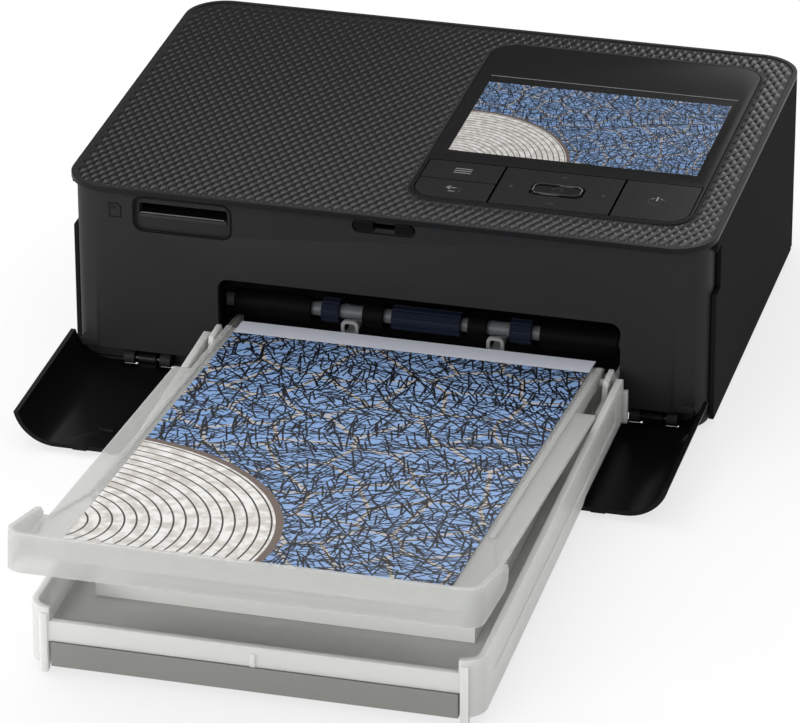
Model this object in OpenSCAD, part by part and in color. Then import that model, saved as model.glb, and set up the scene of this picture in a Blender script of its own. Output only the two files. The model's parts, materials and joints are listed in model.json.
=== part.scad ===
// Compact photo printer with its front door folded down, its paper cassette
// seated in the mouth and the cassette's lid raised as an output tray.
// Right is +X, the front is -Y and up is +Z. The origin is on the table, under
// the middle of the whole. All modules are drawn from the case's front plane.

/* [Case] */
// Width over the side panels
case_w = 182.2; // [174:0.1:200]
// Depth from the front plane to the back
case_d = 133; // [128:0.5:150]
// Height from the table to the top
case_h = 57.6; // [56:0.1:70]
// Radius of the upright corners
corner_r = 12; // [8:0.5:16]
// Wall of the structural mouldings
wall = 2; // [1.6:0.1:2.4]
// Wall of the outer doors and panels
skin_t = 1.3; // [1:0.1:1.6]
// Gap between a skin and the moulding behind it
skin_gap = 0.3; // [0.2:0.05:0.5]
// Gap at the seams between mouldings
seam = 0.2; // [0.1:0.05:0.4]
// Height of the rubber feet below the case
foot_h = 2; // [1:0.25:3]
// Thickness of the top cover
cover_t = 1.6; // [1.2:0.1:2]

/* [Front] */
// Middle of the cassette mouth, right of the case's middle
mouth_x = 9.8; // [0:0.1:14]
// Width of the mouth
mouth_w = 113.6; // [110:0.1:118]
// Top of the mouth above the table
mouth_top = 32.6; // [31:0.1:34]
// Depth of the mouth's lining
mouth_depth = 6.8; // [5:0.2:7]
// Middle of the card recess, from the case's left side
card_side = 34.35; // [29:0.05:37]
// Width of the card recess
card_w = 28.5; // [27:0.5:30]
// Height of the card recess
card_h = 10.8; // [9:0.2:12]
// Middle height of the card recess
card_z = 49.9; // [48:0.1:50]
// Width of the pill recess over the mouth
pill_w = 18; // [14:0.5:24]
// Height of the pill recess
pill_h = 4; // [3:0.2:5]

/* [Front door] */
// Height of the door's hinge axis
hinge_z = 4.6; // [4.4:0.1:5]
// Depth of the hinge axis behind the front plane
hinge_y = 3.4; // [3.2:0.1:3.8]
// Top of the closed door above the table
door_top = 55.4; // [50:0.1:55.6]
// How far the door's corners wrap round the case
door_wrap = 9.3; // [6:0.1:11]
// Radius of the door's knuckles
knuckle_r = 1.9; // [1.7:0.1:2]
// Radius of the hinge pins
pin_r = 0.8; // [0.6:0.05:1]
// Running clearance round a pin
pin_clear = 0.05; // [0.03:0.01:0.1]

/* [Operation panel] */
// Left edge of the panel, right of the case's middle
panel_x = 2.5; // [0:0.5:6]
// Front edge of the panel
panel_y = 15; // [12:0.5:20]
// Cover left at the panel's right side
panel_side = 9.1; // [8:0.1:12]
// Cover left behind the panel
panel_back = 11; // [8:0.5:15]
// Radius of the panel's corners
panel_r = 8; // [5:0.5:10]
// Thickness of the panel
panel_t = 1.8; // [1.4:0.1:2.2]
// Panel left at each side of the screen
screen_side = 4.45; // [4:0.05:6]
// Depth of the screen
screen_d = 48; // [44:0.5:52]
// Front edge of the screen behind the panel's front edge
screen_y = 32; // [29:0.5:34]
// Depth of the key row
keys_d = 24; // [22:0.5:26]
// Width of the left key cell
left_cell_w = 22; // [20:0.5:24]
// Width of the middle key cell
mid_cell_w = 34; // [32:0.5:36]
// Travel of a key
key_travel = 0.4; // [0.3:0.1:0.5]
// Gap round each key
key_gap = 0.3; // [0.25:0.05:0.4]
// Thickness of a key
key_t = 1.6; // [1.4:0.1:2]

/* [Cassette] */
// Middle of the cassette, right of the case's middle
cass_x = 9.65; // [9:0.05:10.2]
// Width of the tray outside the mouth
tray_w = 118.1; // [116:0.1:119]
// Width of the tray's feed end inside the mouth
feed_w = 112.2; // [109:0.1:112.4]
// How far the tray stands out of the front plane
tray_out = 163; // [158:0.5:170]
// How far the feed end reaches behind the front plane
tray_in = 20; // [16:0.5:21]
// Top of the tray's side walls
tray_top = 19; // [18.5:0.1:19.5]
// Top of the tray's front wall
tray_front_top = 15.4; // [14:0.1:16]
// Lower edge of the tray's side walls at the front
tray_low = 3; // [2.5:0.1:4]
// Top of the tray's floor
floor_top = 7.6; // [7.2:0.1:8]
// Wall of the frosted mouldings
frost_t = 1.8; // [1.5:0.1:2]
// Radius of the tray's front corners
tray_r = 6; // [4:0.5:8]
// How far the grey base stands in from each side of the tray
base_side = 6.1; // [5.8:0.1:9]
// Height of the base's front strip
base_h = 7; // [6.5:0.1:8.6]
// Underside of the base above the table
base_low = 2.4; // [1.4:0.1:2.6]

/* [Lid] */
// Tilt of the raised lid
lid_tilt = 6.1; // [5:0.1:7]
// Width of the lid between the tray's walls
lid_w = 106; // [104:0.5:108]
// Outer width of the lid's front rim
cap_w = 122.2; // [121.6:0.2:124]
// How far the lid reaches ahead of its hinge
lid_len = 169; // [166:0.5:172]
// Length of the rim's side walls
cap_len = 29; // [24:0.5:34]
// How far the lid widens behind the rim
cap_flare = 19; // [12:0.5:24]
// Height of the rim's front wall
cap_h = 10.4; // [9:0.1:12]
// How far the rim stands above the lid's plate at the front
cap_rise = 6.5; // [4:0.1:7]
// The same at the back ends of the side walls
cap_rise_back = 2.8; // [2:0.1:4]
// Thickness of the lid's plate
lid_t = 1.4; // [1.2:0.1:1.8]

/* [Paper] */
// Width of a sheet
sheet_w = 100; // [98:0.5:102]
// Length of a sheet
sheet_l = 148; // [146:0.5:150]
// Thickness of the stack in the tray
stack_t = 4.5; // [2:0.25:5]
// Thickness of the print on the lid
print_t = 0.3; // [0.25:0.05:0.4]

/* [Feed] */
// Module of the gear teeth
gear_m = 0.8; // [0.8:0.01:0.82]
// Teeth of the exit shaft's gear
exit_teeth = 22; // [20:1:24]
// Teeth of the capstan's gear
capstan_teeth = 30; // [28:1:32]
// Teeth of the platen's gear
platen_teeth = 30; // [28:1:32]
// Teeth of the motor's pinion
pinion_teeth = 12; // [12:1:14]
// Width of the gears
gear_w = 3.6; // [3:0.2:4]
// Radius of the exit rollers
exit_r = 3.5; // [3.2:0.1:3.6]
// Radius of the capstan
capstan_r = 4; // [3.5:0.1:4.2]
// Radius of the pinch roller
pinch_r = 3; // [2.5:0.1:3.2]
// Radius of the platen roller
platen_r = 6; // [5.5:0.1:6.2]
// Radius of the shafts at their bearings
shaft_r = 2; // [1.5:0.1:2.2]
// Height of the paper's path over the rollers
path_z = 25; // [24.6:0.1:25.4]

/* [Ink cassette] */
// Depth of the take-up spool behind the front plane
takeup_y = 41; // [40:0.25:42]
// Depth of the supply spool behind the front plane
supply_y = 92; // [90:0.5:94]
// Height of both spools
spool_z = 39; // [38.5:0.1:40]
// Radius of the take-up tube
takeup_r = 8; // [7:0.1:8.2]
// Radius of the supply tube
supply_r = 11; // [9:0.1:12]
// Wall of the tubes
tube_t = 1.2; // [1:0.1:1.5]

/* [Hidden] */
$fn = 64;
eps = 0.01;

// Lid hinge: its place, and the plate's top above it
lid_y = 5.5;
lid_top = 2.6;
print_front = 155.5;

// Case
reach = lid_y + lid_len * cos(lid_tilt) + (cap_h - cap_rise - lid_top) * sin(lid_tilt);
front_y = (reach - case_d) / 2;
half_w = case_w / 2;
shell_in = skin_t + skin_gap;
case_low = foot_h;
cover_z = case_h - cover_t;
shell_top = cover_z - seam;
knurl_drop = 0.35;
cover_lip = 1.4;
panel_lip = 0.5;
side_front = 10.6;
card_x = half_w - card_side;
jack_x = half_w - 21.1;
jack_z = 15;
usb_x = jack_x - 20;
feet_x = half_w - 25.1;
feet_y = [24, case_d - 17];
shell_wrap = 18;
rear_wrap = 12;
floor_t = 2;
tub_in = shell_in + 0.5;
side_z0 = 2.2;
sill_z = hinge_z + knuckle_r + 1;
sill_y = hinge_y + knuckle_r + 0.8;
sill_t = 1.5;

// Mouth
mouth_l = mouth_x - mouth_w / 2;
mouth_r = mouth_x + mouth_w / 2;
mouth_corner = 3;

// Front door
knuckle_l = 5;
knuckle_off = 5.2;
knuckle_x = [23.1 - half_w, half_w - 15.1];
lug_x = [half_w - 19.1, half_w - 29.1];
ear_l = 3;
ear_d = 3;

// Ink door
ink_pin_in = 2.6;
ink_hinge_y = case_d - rear_wrap - 1.25;
ink_hinge_x = half_w - ink_pin_in;
ink_ear_r = 1.5;
ink_relief_r = ink_pin_in + 0.3;
ink_hinge_z = [12, 44];
notch_z0 = 40;
notch_z1 = 53;
notch_d = 5.2;
screw_x = [13.1 - half_w, half_w - 13.1];
screw_y = [30, case_d - 25];
bay_y0 = 30;
bay_y1 = ink_hinge_y - 11.75;
bay_z0 = 27;
bay_z1 = 51;

// Operation panel
panel_w = half_w - panel_x - panel_side;
panel_d = case_d - panel_y - panel_back;
panel_z = case_h - panel_t;
screen_w = panel_w - 2 * screen_side;
keys_y = panel_y + 1.2;
split_y = keys_y + keys_d;
key_low = case_h - key_t;
left_x0 = panel_x + 1;
mid_x0 = left_x0 + left_cell_w;
right_x0 = mid_x0 + mid_cell_w;
right_cell_w = panel_x + panel_w - 1 - right_x0;
pad_x = mid_x0 + mid_cell_w / 2;
pad_y = keys_y + keys_d / 2;
gimbal_t = 0.8;
gimbal_drop = 1.3;
ok_w = 15;
ok_d = 7.6;
board_z = panel_z - 5;
board_t = 1.2;
rim_h = 3.6;

// Cassette
tray_l = cass_x - tray_w / 2;
tray_r_x = cass_x + tray_w / 2;
tray_back = 3;
base_w = tray_w - 2 * base_side;
tray_rise = 6;
floor_low = floor_top - frost_t + 0.2;
door_reach = door_top - hinge_z - hinge_y;
base_back = door_reach + 4;
lid_z = tray_top + 0.1 - (lid_top - lid_t);
lid_pin_r = 1.1;
skirt_t = 1.4;
skirt_h = 2.2;
edge_h = 0.6;
rim_r = 5;
rim_t = 1.4;
rim_low = lid_top - cap_h + cap_rise;
rim_back = cap_len - lid_len;
flare_x = cap_w / 2 - rim_t - 1.6;
feed_t = 1.4;
feed_top = 15.4;

// Feed: the gears set the distances between the shafts
mesh_gap = 0.12;
function centres(a, b) = gear_m * (a + b) / 2 + mesh_gap;
exit_y = 13.5;
exit_z = 21;
exit_sleeves = [[-20, -15], [0, 19.5], [33.5, 39.5]];
cover_ends = [[-45, -23], [-8.3, -2.4], [21.6, 27], [42, 64]];
hook_x = [-13.7, 27.6];
hook_w = 4.9;
guide_y = 17.6;
guide_z = 16;
capstan_z = path_z - capstan_r;
capstan_y = exit_y + sqrt(pow(centres(exit_teeth, capstan_teeth), 2) - pow(capstan_z - exit_z, 2));
platen_z = path_z - platen_r;
platen_y = capstan_y + sqrt(pow(centres(capstan_teeth, platen_teeth), 2) - pow(capstan_z - platen_z, 2));
pinion_angle = 62;
pinion_y = capstan_y + centres(capstan_teeth, pinion_teeth) * cos(pinion_angle);
pinion_z = capstan_z + centres(capstan_teeth, pinion_teeth) * sin(pinion_angle);
nip = 0.35;
pinch_z = path_z + nip + pinch_r;
shaft_places = [[exit_y, exit_z], [capstan_y, capstan_z], [platen_y, platen_z],
    [capstan_y, pinch_z]];
plate_t = 1;
plate_l = mouth_l - 7;
plate_r = mouth_r + 6;
gear_x = plate_l - plate_t - 1.2 - gear_w;
motor_l = half_w + gear_x - tub_in - wall - 7.2;
chassis_back = supply_y + supply_r + 11;
ties_y = chassis_back - 6;
board_x = 7.1 - half_w;
board_y = [64, case_d - 17];
roller_l = cass_x - 53;
roller_r = cass_x + 53;
bush_r = shaft_r + 1.6;

// Head and ink cassette
head_y = platen_y;
head_z = path_z + 0.5;
head_d = 8;
sink_d = 20;
sink_top = 47;
head_hinge_y = 75.6;
head_hinge_z = 45.6;
head_pin_r = 1.5;
lever_y = 29;
lever_z = 42;
lever_pin_r = 1;
ink_l = roller_l - 5;
ink_r = roller_r + 9;
ribbon_t = 0.14;
wound_in = 2.6;

module from_front() { translate([0, front_y, 0]) children(); }

// Moves a flat outline drawn in (y, z) to stand across the case, from x0 to x1
module across(x0, x1) {
    translate([x0, 0, 0]) rotate([90, 0, 90]) linear_extrude(x1 - x0) children();
}

// A box between two corners
module block(a, b) { translate(a) cube(b - a); }

// A round bar along X
module bar(x0, x1, y, z, r) { across(x0, x1) translate([y, z]) circle(r); }

// A rectangle from its corner, with rounded corners
module rounded(w, d, r) {
    translate([r, 0]) square([w - 2 * r, d]);
    translate([0, r]) square([w, d - 2 * r]);
    for (x = [r, w - r], y = [r, d - r]) translate([x, y]) circle(r);
}

// The case's plan, moved inwards
module plan(inset) {
    translate([-half_w + inset, inset])
        rounded(case_w - 2 * inset, case_d - 2 * inset, corner_r - inset);
}

// A wall that follows the plan
module ring(inset, t, z0, z1) {
    translate([0, 0, z0]) linear_extrude(z1 - z0) difference() {
        plan(inset);
        plan(inset + t);
    }
}

// The part of its children between two depths
module between(y0, y1) {
    intersection() {
        children();
        block([-half_w - 1, y0, -1], [half_w + 1, y1, case_h + 1]);
    }
}

// A pill shape standing in the front wall
module pill(x, z, w, h, y0, y1) {
    translate([x - w / 2, y1, z - h / 2]) rotate([90, 0, 0])
        linear_extrude(y1 - y0) rounded(w, h, h / 2 - eps);
}

module lower_case() {
    color("#1c1c1d") from_front() {
        difference() {
            union() {
                translate([0, 0, case_low]) linear_extrude(floor_t) {
                    intersection() {
                        plan(tub_in);
                        translate([-half_w, shell_wrap + seam]) square([case_w, case_d]);
                    }
                    intersection() {
                        plan(shell_in + wall + seam);
                        translate([-half_w, sill_y + ear_d + seam]) square([case_w, shell_wrap]);
                    }
                }
                between(shell_wrap + seam, case_d - rear_wrap - seam)
                    ring(tub_in, wall, case_low, shell_top - seam);
            }
            block([half_w - 8, bay_y0, bay_z0], [half_w, bay_y1, bay_z1]);
            for (y = [34:7:104]) block([-half_w, y, 40], [-half_w + 8, y + 3, 50]);
            for (x = screw_x, y = screw_y)
                translate([x, y, case_low - eps]) cylinder(h = floor_t + 1, r = 1.4);
            translate([ink_hinge_x, ink_hinge_y, 0]) cylinder(h = case_h, r = ink_relief_r);
        }
        for (x = screw_x, y = screw_y) translate([x, y, case_low + floor_t - eps])
            difference() {
                cylinder(h = 5, r = 3);
                translate([0, 0, -1]) cylinder(h = 7, r = 1.2);
            }
        for (z = ink_hinge_z) ink_ear(z);
    }
}

// An ear that holds one pin of the ink door
module ink_ear(z) {
    for (dz = [-4.2, 2.2]) difference() {
        translate([0, 0, z + dz]) linear_extrude(2) translate([ink_hinge_x, ink_hinge_y]) union() {
            circle(ink_ear_r);
            translate([-ink_ear_r, -6]) square([ink_ear_r + 0.3, 6]);
        }
        translate([ink_hinge_x, ink_hinge_y, z - 6]) cylinder(h = 12, r = pin_r);
    }
}

module rubber_feet() {
    color("#111111") from_front() for (x = [-feet_x, feet_x], y = feet_y)
        translate([x, y, 0]) cylinder(h = foot_h, r = 5);
}

module case_screws() {
    color("#8d8f92") from_front() for (x = screw_x, y = screw_y) {
        translate([x, y, case_low - 1]) cylinder(h = 1, r = 2.4);
        translate([x, y, case_low - 0.5]) cylinder(h = floor_t + 5, r = 1.2);
    }
}

module front_shell() {
    color("#262627") from_front() difference() {
        union() {
            difference() {
                union() {
                    between(0, shell_wrap) ring(shell_in, wall, case_low, shell_top);
                    between(0, shell_wrap)
                        ring(shell_in, wall + 1.5, case_low + 4, case_low + 6);
                }
                block([-half_w + 4, -1, -1], [half_w - 4, sill_y, sill_z]);
            }
            front_ears();
            front_sill();
        }
        mouth_cut(-1, shell_in + wall + 4);
        card_cut();
        pill(0.4, 53.5, pill_w, pill_h, -1, shell_in + 1.2);
        pill(0.4, 53.5, pill_w - 5, 1.6, -1, shell_in + wall + 1);
        for (x = [-half_w, half_w]) translate([x, side_front, -1]) cylinder(h = notch_z1, r = 1);
    }
}

// The opening for the cassette, open below
module mouth_cut(y0, y1) {
    translate([mouth_l, y1, 0]) rotate([90, 0, 0]) linear_extrude(y1 - y0)
        translate([0, -5]) rounded(mouth_w, mouth_top + 5, mouth_corner);
}

module card_cut() {
    translate([-card_x - card_w / 2, shell_in + 1, card_z - card_h / 2]) rotate([90, 0, 0])
        linear_extrude(4) rounded(card_w, card_h, 3);
    translate([-card_x - card_w / 2 + 1.7, shell_in + wall + 1, card_z - 1]) rotate([90, 0, 0])
        linear_extrude(6) rounded(card_w - 3.4, 4, 0.6);
}

// Ears below the front wall that hold the front door's pins
module front_ears() {
    for (x = knuckle_x, s = [-1, 1]) difference() {
        across(x + s * knuckle_off - ear_l / 2, x + s * knuckle_off + ear_l / 2) union() {
            translate([hinge_y, hinge_z]) circle(knuckle_r);
            translate([hinge_y, hinge_z - 1]) square([sill_y - hinge_y + 1, 2.6]);
            translate([sill_y, case_low]) square([ear_d, sill_z - case_low + 2]);
            translate([shell_in + 0.5, sill_z + eps]) square([sill_y + ear_d - shell_in - 0.5, 2]);
        }
        bar(x - 12, x + 12, hinge_y, hinge_z, pin_r);
    }
}

// Sill behind the front door's hinge, on each side of the mouth
module front_sill() {
    for (s = [[4 - half_w, mouth_l - 2 - seam], [mouth_r + 2 + seam, half_w - 4]])
        across(s[0], s[1]) union() {
            translate([sill_y, case_low]) square([sill_t, sill_z - case_low + 2]);
            translate([shell_in + 0.5, sill_z + eps]) square([sill_y + sill_t - shell_in - 0.5, 2]);
            translate([sill_y - 1.1, case_low]) square([1.2, 1]);
        }
}

module rear_shell() {
    color("#1f1f20") from_front() difference() {
        between(case_d - rear_wrap, case_d) ring(0, wall, side_z0, shell_top);
        // room for the ink door's end as it swings
        block([0, ink_hinge_y, 0], [half_w + 1, ink_hinge_y + ink_relief_r, case_h]);
        // way out for the paper during a pass
        block([cass_x - 54, case_d - 6, 20], [cass_x + 54, case_d + 1, 27]);
        for (x = [-64:5:-24]) block([x, case_d - 6, 34], [x + 2.4, case_d + 1, 48]);
        translate([jack_x, case_d + 1, jack_z]) rotate([90, 0, 0]) cylinder(h = 8, r = 4);
        translate([usb_x - 4.6, case_d + 1, 13.3]) rotate([90, 0, 0])
            linear_extrude(8) rounded(9.2, 3.4, 1.6);
    }
}

module left_panel() {
    color("#1a1a1b") from_front() difference() {
        intersection() {
            ring(0, skin_t, side_z0, shell_top);
            block([-half_w, side_front, 0], [0, case_d - rear_wrap - seam, case_h]);
        }
        block([-half_w - 1, side_front - 1, notch_z0], [0, side_front + notch_d, notch_z1]);
        for (y = [34:7:104]) block([-half_w - 1, y, 40], [0, y + 3, 50]);
    }
}

module ink_door() {
    color("#1a1a1b") from_front() {
        difference() {
            intersection() {
                ring(0, skin_t, side_z0, shell_top);
                block([0, side_front, 0], [half_w, ink_hinge_y + 1, case_h]);
            }
            block([0, side_front - 1, notch_z0], [half_w + 1, side_front + notch_d, notch_z1]);
            // pockets that clear the ears
            for (z = ink_hinge_z, dz = [-4.5, 2]) translate([ink_hinge_x, ink_hinge_y, z + dz])
                cylinder(h = 2.5, r = ink_ear_r + 0.3);
        }
        for (z = ink_hinge_z) difference() {
            translate([0, 0, z - 2]) linear_extrude(4) translate([ink_hinge_x, ink_hinge_y]) union() {
                circle(ink_ear_r);
                translate([0, -ink_ear_r]) square([ink_pin_in - skin_t / 2, ink_ear_r]);
            }
            translate([ink_hinge_x, ink_hinge_y, z - 6]) cylinder(h = 12, r = pin_r + pin_clear);
        }
    }
}

module ink_door_pins() {
    color("#a8aaac") from_front() for (z = ink_hinge_z)
        translate([ink_hinge_x, ink_hinge_y, z - 4.2]) cylinder(h = 8.4, r = pin_r);
}

// The front door as it stands when closed
module closed_door() {
    difference() {
        between(0, door_wrap) ring(0, skin_t, hinge_z - 1.2, door_top);
        for (x = knuckle_x, s = [-1, 1])
            block([x + s * knuckle_off - ear_l / 2 - 0.4, -1, 0],
                [x + s * knuckle_off + ear_l / 2 + 0.4, 4, hinge_z + knuckle_r + 0.6]);
    }
    // lugs at the free edge, and a ridge that snaps into the card recess
    for (s = [-1, 1], x = lug_x)
        block([s * x - 2, 0.2, door_top - 2], [s * x + 2, skin_t, door_top + 0.8]);
    block([-card_x - 13.2, skin_t - eps, 44.9], [-card_x - 8.8, skin_t + 0.8, 45.9]);
    for (x = knuckle_x) difference() {
        across(x - knuckle_l / 2, x + knuckle_l / 2) union() {
            translate([hinge_y, hinge_z]) circle(knuckle_r);
            translate([skin_t / 2, hinge_z - 1.2]) square([hinge_y - skin_t / 2, 2.6]);
        }
        bar(x - 6, x + 6, hinge_y, hinge_z, pin_r + pin_clear);
    }
}

module front_door() {
    color("#1f1f20") from_front() translate([0, hinge_y, hinge_z]) rotate([90, 0, 0])
        translate([0, -hinge_y, -hinge_z]) closed_door();
}

module front_door_pins() {
    color("#a8aaac") from_front() for (x = knuckle_x)
        bar(x - knuckle_off - ear_l / 2, x + knuckle_off + ear_l / 2, hinge_y, hinge_z, pin_r);
}

module top_cover() {
    color("#2a2a2b") from_front() difference() {
        union() {
            translate([0, 0, cover_z]) linear_extrude(cover_t) plan(0);
            ring(tub_in + wall + 0.3, 1.4, cover_z - 1.5, cover_z + eps);
        }
        translate([0, 0, cover_z - 5]) linear_extrude(cover_t + 6) panel_outline(0);
        // shallow field that the knurling stands in
        translate([0, 0, case_h - knurl_drop]) linear_extrude(1) difference() {
            plan(cover_lip);
            panel_outline(-panel_lip);
        }
    }
}

// Two glossy ends and a dark middle, set in the pill recess
module door_catch() {
    color("#131314") from_front() {
        for (s = [-1, 1]) difference() {
            pill(0.4, 53.5, pill_w - 1.6, pill_h - 1, shell_in + 0.2, shell_in + 1.2 - 0.02);
            block([s > 0 ? -20 : -pill_w / 2 + 6.4, 0, 50], [s > 0 ? pill_w / 2 - 5.6 : 20, 5, 57]);
        }
    }
}

module mouth_frame() {
    y0 = shell_in + wall;
    color("#0f0f10") from_front() difference() {
        block([mouth_l - 2, y0, sill_z + 1], [mouth_r + 2, y0 + mouth_depth, mouth_top + 2]);
        mouth_cut(y0 - 1, y0 + mouth_depth + 1);
    }
}

// Keys and panel share these outlines
module left_cell(g) {
    translate([left_x0 + g, keys_y + g]) square([left_cell_w - 2 * g, keys_d - 2 * g]);
}

module mid_cell(g) {
    translate([mid_x0 + g, keys_y + g]) square([mid_cell_w - 2 * g, keys_d - 2 * g]);
}

module right_cell(g) {
    translate([right_x0 + g, keys_y + g]) square([right_cell_w - 2 * g, keys_d - 2 * g]);
}

module ok_outline(g) {
    translate([pad_x - ok_w / 2 + g, pad_y - ok_d / 2 + g])
        rounded(ok_w - 2 * g, ok_d - 2 * g, 2 - g);
}

module panel_outline(g) {
    translate([panel_x + g, panel_y + g]) rounded(panel_w - 2 * g, panel_d - 2 * g, panel_r - g);
}

module operation_panel() {
    color("#18181a") from_front() {
        difference() {
            translate([0, 0, panel_z]) linear_extrude(panel_t) difference() {
                panel_outline(seam);
                intersection() {
                    union() {
                        left_cell(0);
                        mid_cell(0);
                        right_cell(0);
                    }
                    panel_outline(1);
                }
            }
            translate([0, 0, case_h - 0.6]) linear_extrude(1) screen_outline(0);
            translate([0, 0, panel_z - 1]) linear_extrude(4) screen_outline(3);
        }
        for (x = [panel_x + 6, panel_x + panel_w - 6], y = [split_y + 6, panel_y + panel_d - 6])
            translate([x, y, board_z]) cylinder(h = panel_z - board_z + eps, r = 1.6);
        translate([0, 0, panel_z - rim_h]) linear_extrude(rim_h + eps) difference() {
            panel_outline(seam);
            panel_outline(seam + 1);
        }
    }
}

module screen_outline(g) {
    translate([panel_x + (panel_w - screen_w) / 2 + g, panel_y + screen_y + g])
        square([screen_w - 2 * g, screen_d - 2 * g]);
}

module screen_glass() {
    color("#20242c") from_front() translate([0, 0, case_h - 0.6])
        linear_extrude(0.6 - 0.05) screen_outline(0.1);
}

module screen_module() {
    color("#9a9c9e") from_front() translate([0, 0, panel_z - 2.6])
        linear_extrude(2.6) screen_outline(1);
}

// A key: a cap in its cell and a stem above its switch
module key_cap(x, y) {
    translate([0, 0, key_low]) linear_extrude(key_t) children();
    translate([x, y, board_z + board_t + 1.2 + key_travel + 0.1])
        cylinder(h = key_low - board_z - board_t - 1.2 - key_travel, r = 1.2);
}

module left_half(low) {
    intersection() {
        left_cell(key_gap);
        panel_outline(1 + key_gap);
        translate([left_x0, low ? keys_y : keys_y + keys_d / 2 + key_gap / 2])
            square([left_cell_w, keys_d / 2 - key_gap / 2]);
    }
}

module menu_key() {
    color("#1b1b1d") from_front()
        key_cap(left_x0 + left_cell_w / 2, keys_y + keys_d * 0.75) left_half(false);
}

module back_key() {
    color("#1b1b1d") from_front()
        key_cap(left_x0 + left_cell_w / 2, keys_y + keys_d * 0.25) left_half(true);
}

module power_key() {
    color("#1b1b1d") from_front() key_cap(right_x0 + right_cell_w / 2, pad_y) intersection() {
        right_cell(key_gap);
        panel_outline(1 + key_gap);
    }
}

module ok_key() {
    color("#232325") from_front() key_cap(pad_x, pad_y) ok_outline(key_gap);
}

module four_way_key() {
    color("#1b1b1d") from_front() translate([0, 0, key_low]) linear_extrude(key_t) difference() {
        mid_cell(key_gap);
        ok_outline(0);
    }
}

// The rubber ring that the four-way key rocks on
module pad_gimbal() {
    color("#3a3a3a") from_front() translate([pad_x, pad_y, key_low - gimbal_drop]) {
        linear_extrude(gimbal_t) difference() {
            translate([-13, -7.5]) rounded(26, 15, 3);
            translate([-9, -4.6]) rounded(18, 9.2, 2);
        }
        for (y = [-6, 6]) translate([0, y, gimbal_t - eps])
            cylinder(h = gimbal_drop - gimbal_t - 0.04, r = 0.8);
    }
}

module key_board() {
    color("#1f4a2c") from_front() {
        translate([panel_x + 3, panel_y + 3, board_z]) cube([panel_w - 6, keys_d + 2, board_t]);
        for (p = [[left_x0 + left_cell_w / 2, keys_y + keys_d * 0.75],
                [left_x0 + left_cell_w / 2, keys_y + keys_d * 0.25],
                [pad_x, pad_y], [right_x0 + right_cell_w / 2, pad_y]])
            translate([p[0] - 1.6, p[1] - 1.6, board_z + board_t - eps]) cube([3.2, 3.2, 1.2]);
        // posts under the rocker's rubber ring
        for (s = [-1, 1]) translate([pad_x + s * 11, pad_y, board_z])
            cylinder(h = key_low - gimbal_drop - board_z - 0.04, r = 1);
    }
}

module card_socket() {
    color("#77797b") from_front() difference() {
        block([-card_x - 13.5, shell_in + wall + 0.1, card_z - 3.4],
            [-card_x + 13.5, 34, card_z + 4.4]);
        block([-card_x - 12.3, 0, card_z - 1], [-card_x + 12.3, 32, card_z + 3]);
    }
    color("#77797b") from_front()
        block([-card_x - 12.4, shell_in + 0.6, card_z - 0.95], [-card_x + 12.4, 6, card_z + 0.2]);
}

module main_board() {
    color("#1f4a2c") from_front() {
        block([board_x, board_y[0], 9], [board_x + 24, board_y[1], 10.4]);
        for (y = [6, 20, 34]) block([board_x + 5, board_y[0] + y, 10.3],
            [board_x + 16, board_y[0] + y + 8, 12]);
        for (x = [board_x, board_x + 22], y = [board_y[0], board_y[1] - 2])
            block([x, y, case_low + floor_t], [x + 2, y + 2, 9.1]);
    }
}

module dc_jack() {
    color("#101010") from_front() {
        difference() {
            block([jack_x - 5, case_d - 12, jack_z - 5], [jack_x + 5, case_d - wall - 0.1, jack_z + 5]);
            translate([jack_x, case_d, jack_z]) rotate([90, 0, 0]) cylinder(h = 10, r = 2.75);
        }
        translate([jack_x, case_d - 3, jack_z]) rotate([90, 0, 0]) cylinder(h = 8, r = 0.85);
        block([jack_x - 4, case_d - 12, case_low + floor_t], [jack_x + 4, case_d - 4, jack_z - 4.9]);
    }
}

module usb_socket() {
    color("#a9abad") from_front() {
        difference() {
            translate([usb_x - 4.5, case_d - wall - 0.1, 13.4]) rotate([90, 0, 0])
                linear_extrude(7.5) rounded(9, 3.2, 1.5);
            translate([usb_x - 4.1, case_d, 13.8]) rotate([90, 0, 0])
                linear_extrude(8) rounded(8.2, 2.4, 1.15);
        }
        block([usb_x - 3.3, case_d - 9, 14.65], [usb_x + 3.3, case_d - 3.5, 15.35]);
        block([usb_x - 4, case_d - 9.5, case_low + floor_t], [usb_x + 4, case_d - 3, 13.5]);
    }
}

// A side plate that stands on the floor, with holes for the bushes
module side_plate(x) {
    difference() {
        across(x, x + plate_t) translate([0, case_low + floor_t]) union() {
            translate([8, 0]) square([chassis_back - 8, 22]);
            translate([20, 0]) square([ties_y - 20, 41]);
            translate([36, 0]) square([ties_y - 36, 46]);
            translate([46, 0]) square([ties_y - 46, 49]);
            translate([20, 22]) circle(6);
        }
        for (p = shaft_places) bar(x - 1, x + 2, p[0], p[1], bush_r);
        bar(x - 1, x + 2, head_hinge_y, head_hinge_z, head_pin_r);
    }
}

module chassis_left() { color("#9fa2a5") from_front() side_plate(plate_l - plate_t); }

module chassis_right() {
    color("#9fa2a5") from_front() difference() {
        union() {
            side_plate(plate_r);
            block([plate_r, 26, 40], [plate_r + plate_t, 38, case_low + floor_t + 46]);
        }
        // the ink cassette slides out through this plate
        bar(plate_r - 1, plate_r + 2, takeup_y, spool_z, takeup_r + tube_t + 0.6);
        bar(plate_r - 1, plate_r + 2, supply_y, spool_z, supply_r + tube_t + 0.6);
        across(plate_r - 1, plate_r + 2) translate([takeup_y, spool_z - 4.5])
            square([supply_y - takeup_y, 9]);
    }
    // the ink lever's pivot
    color("#9fa2a5") from_front() bar(plate_r + plate_t - eps, plate_r + 5.5, lever_y, lever_z, lever_pin_r);
}

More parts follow.
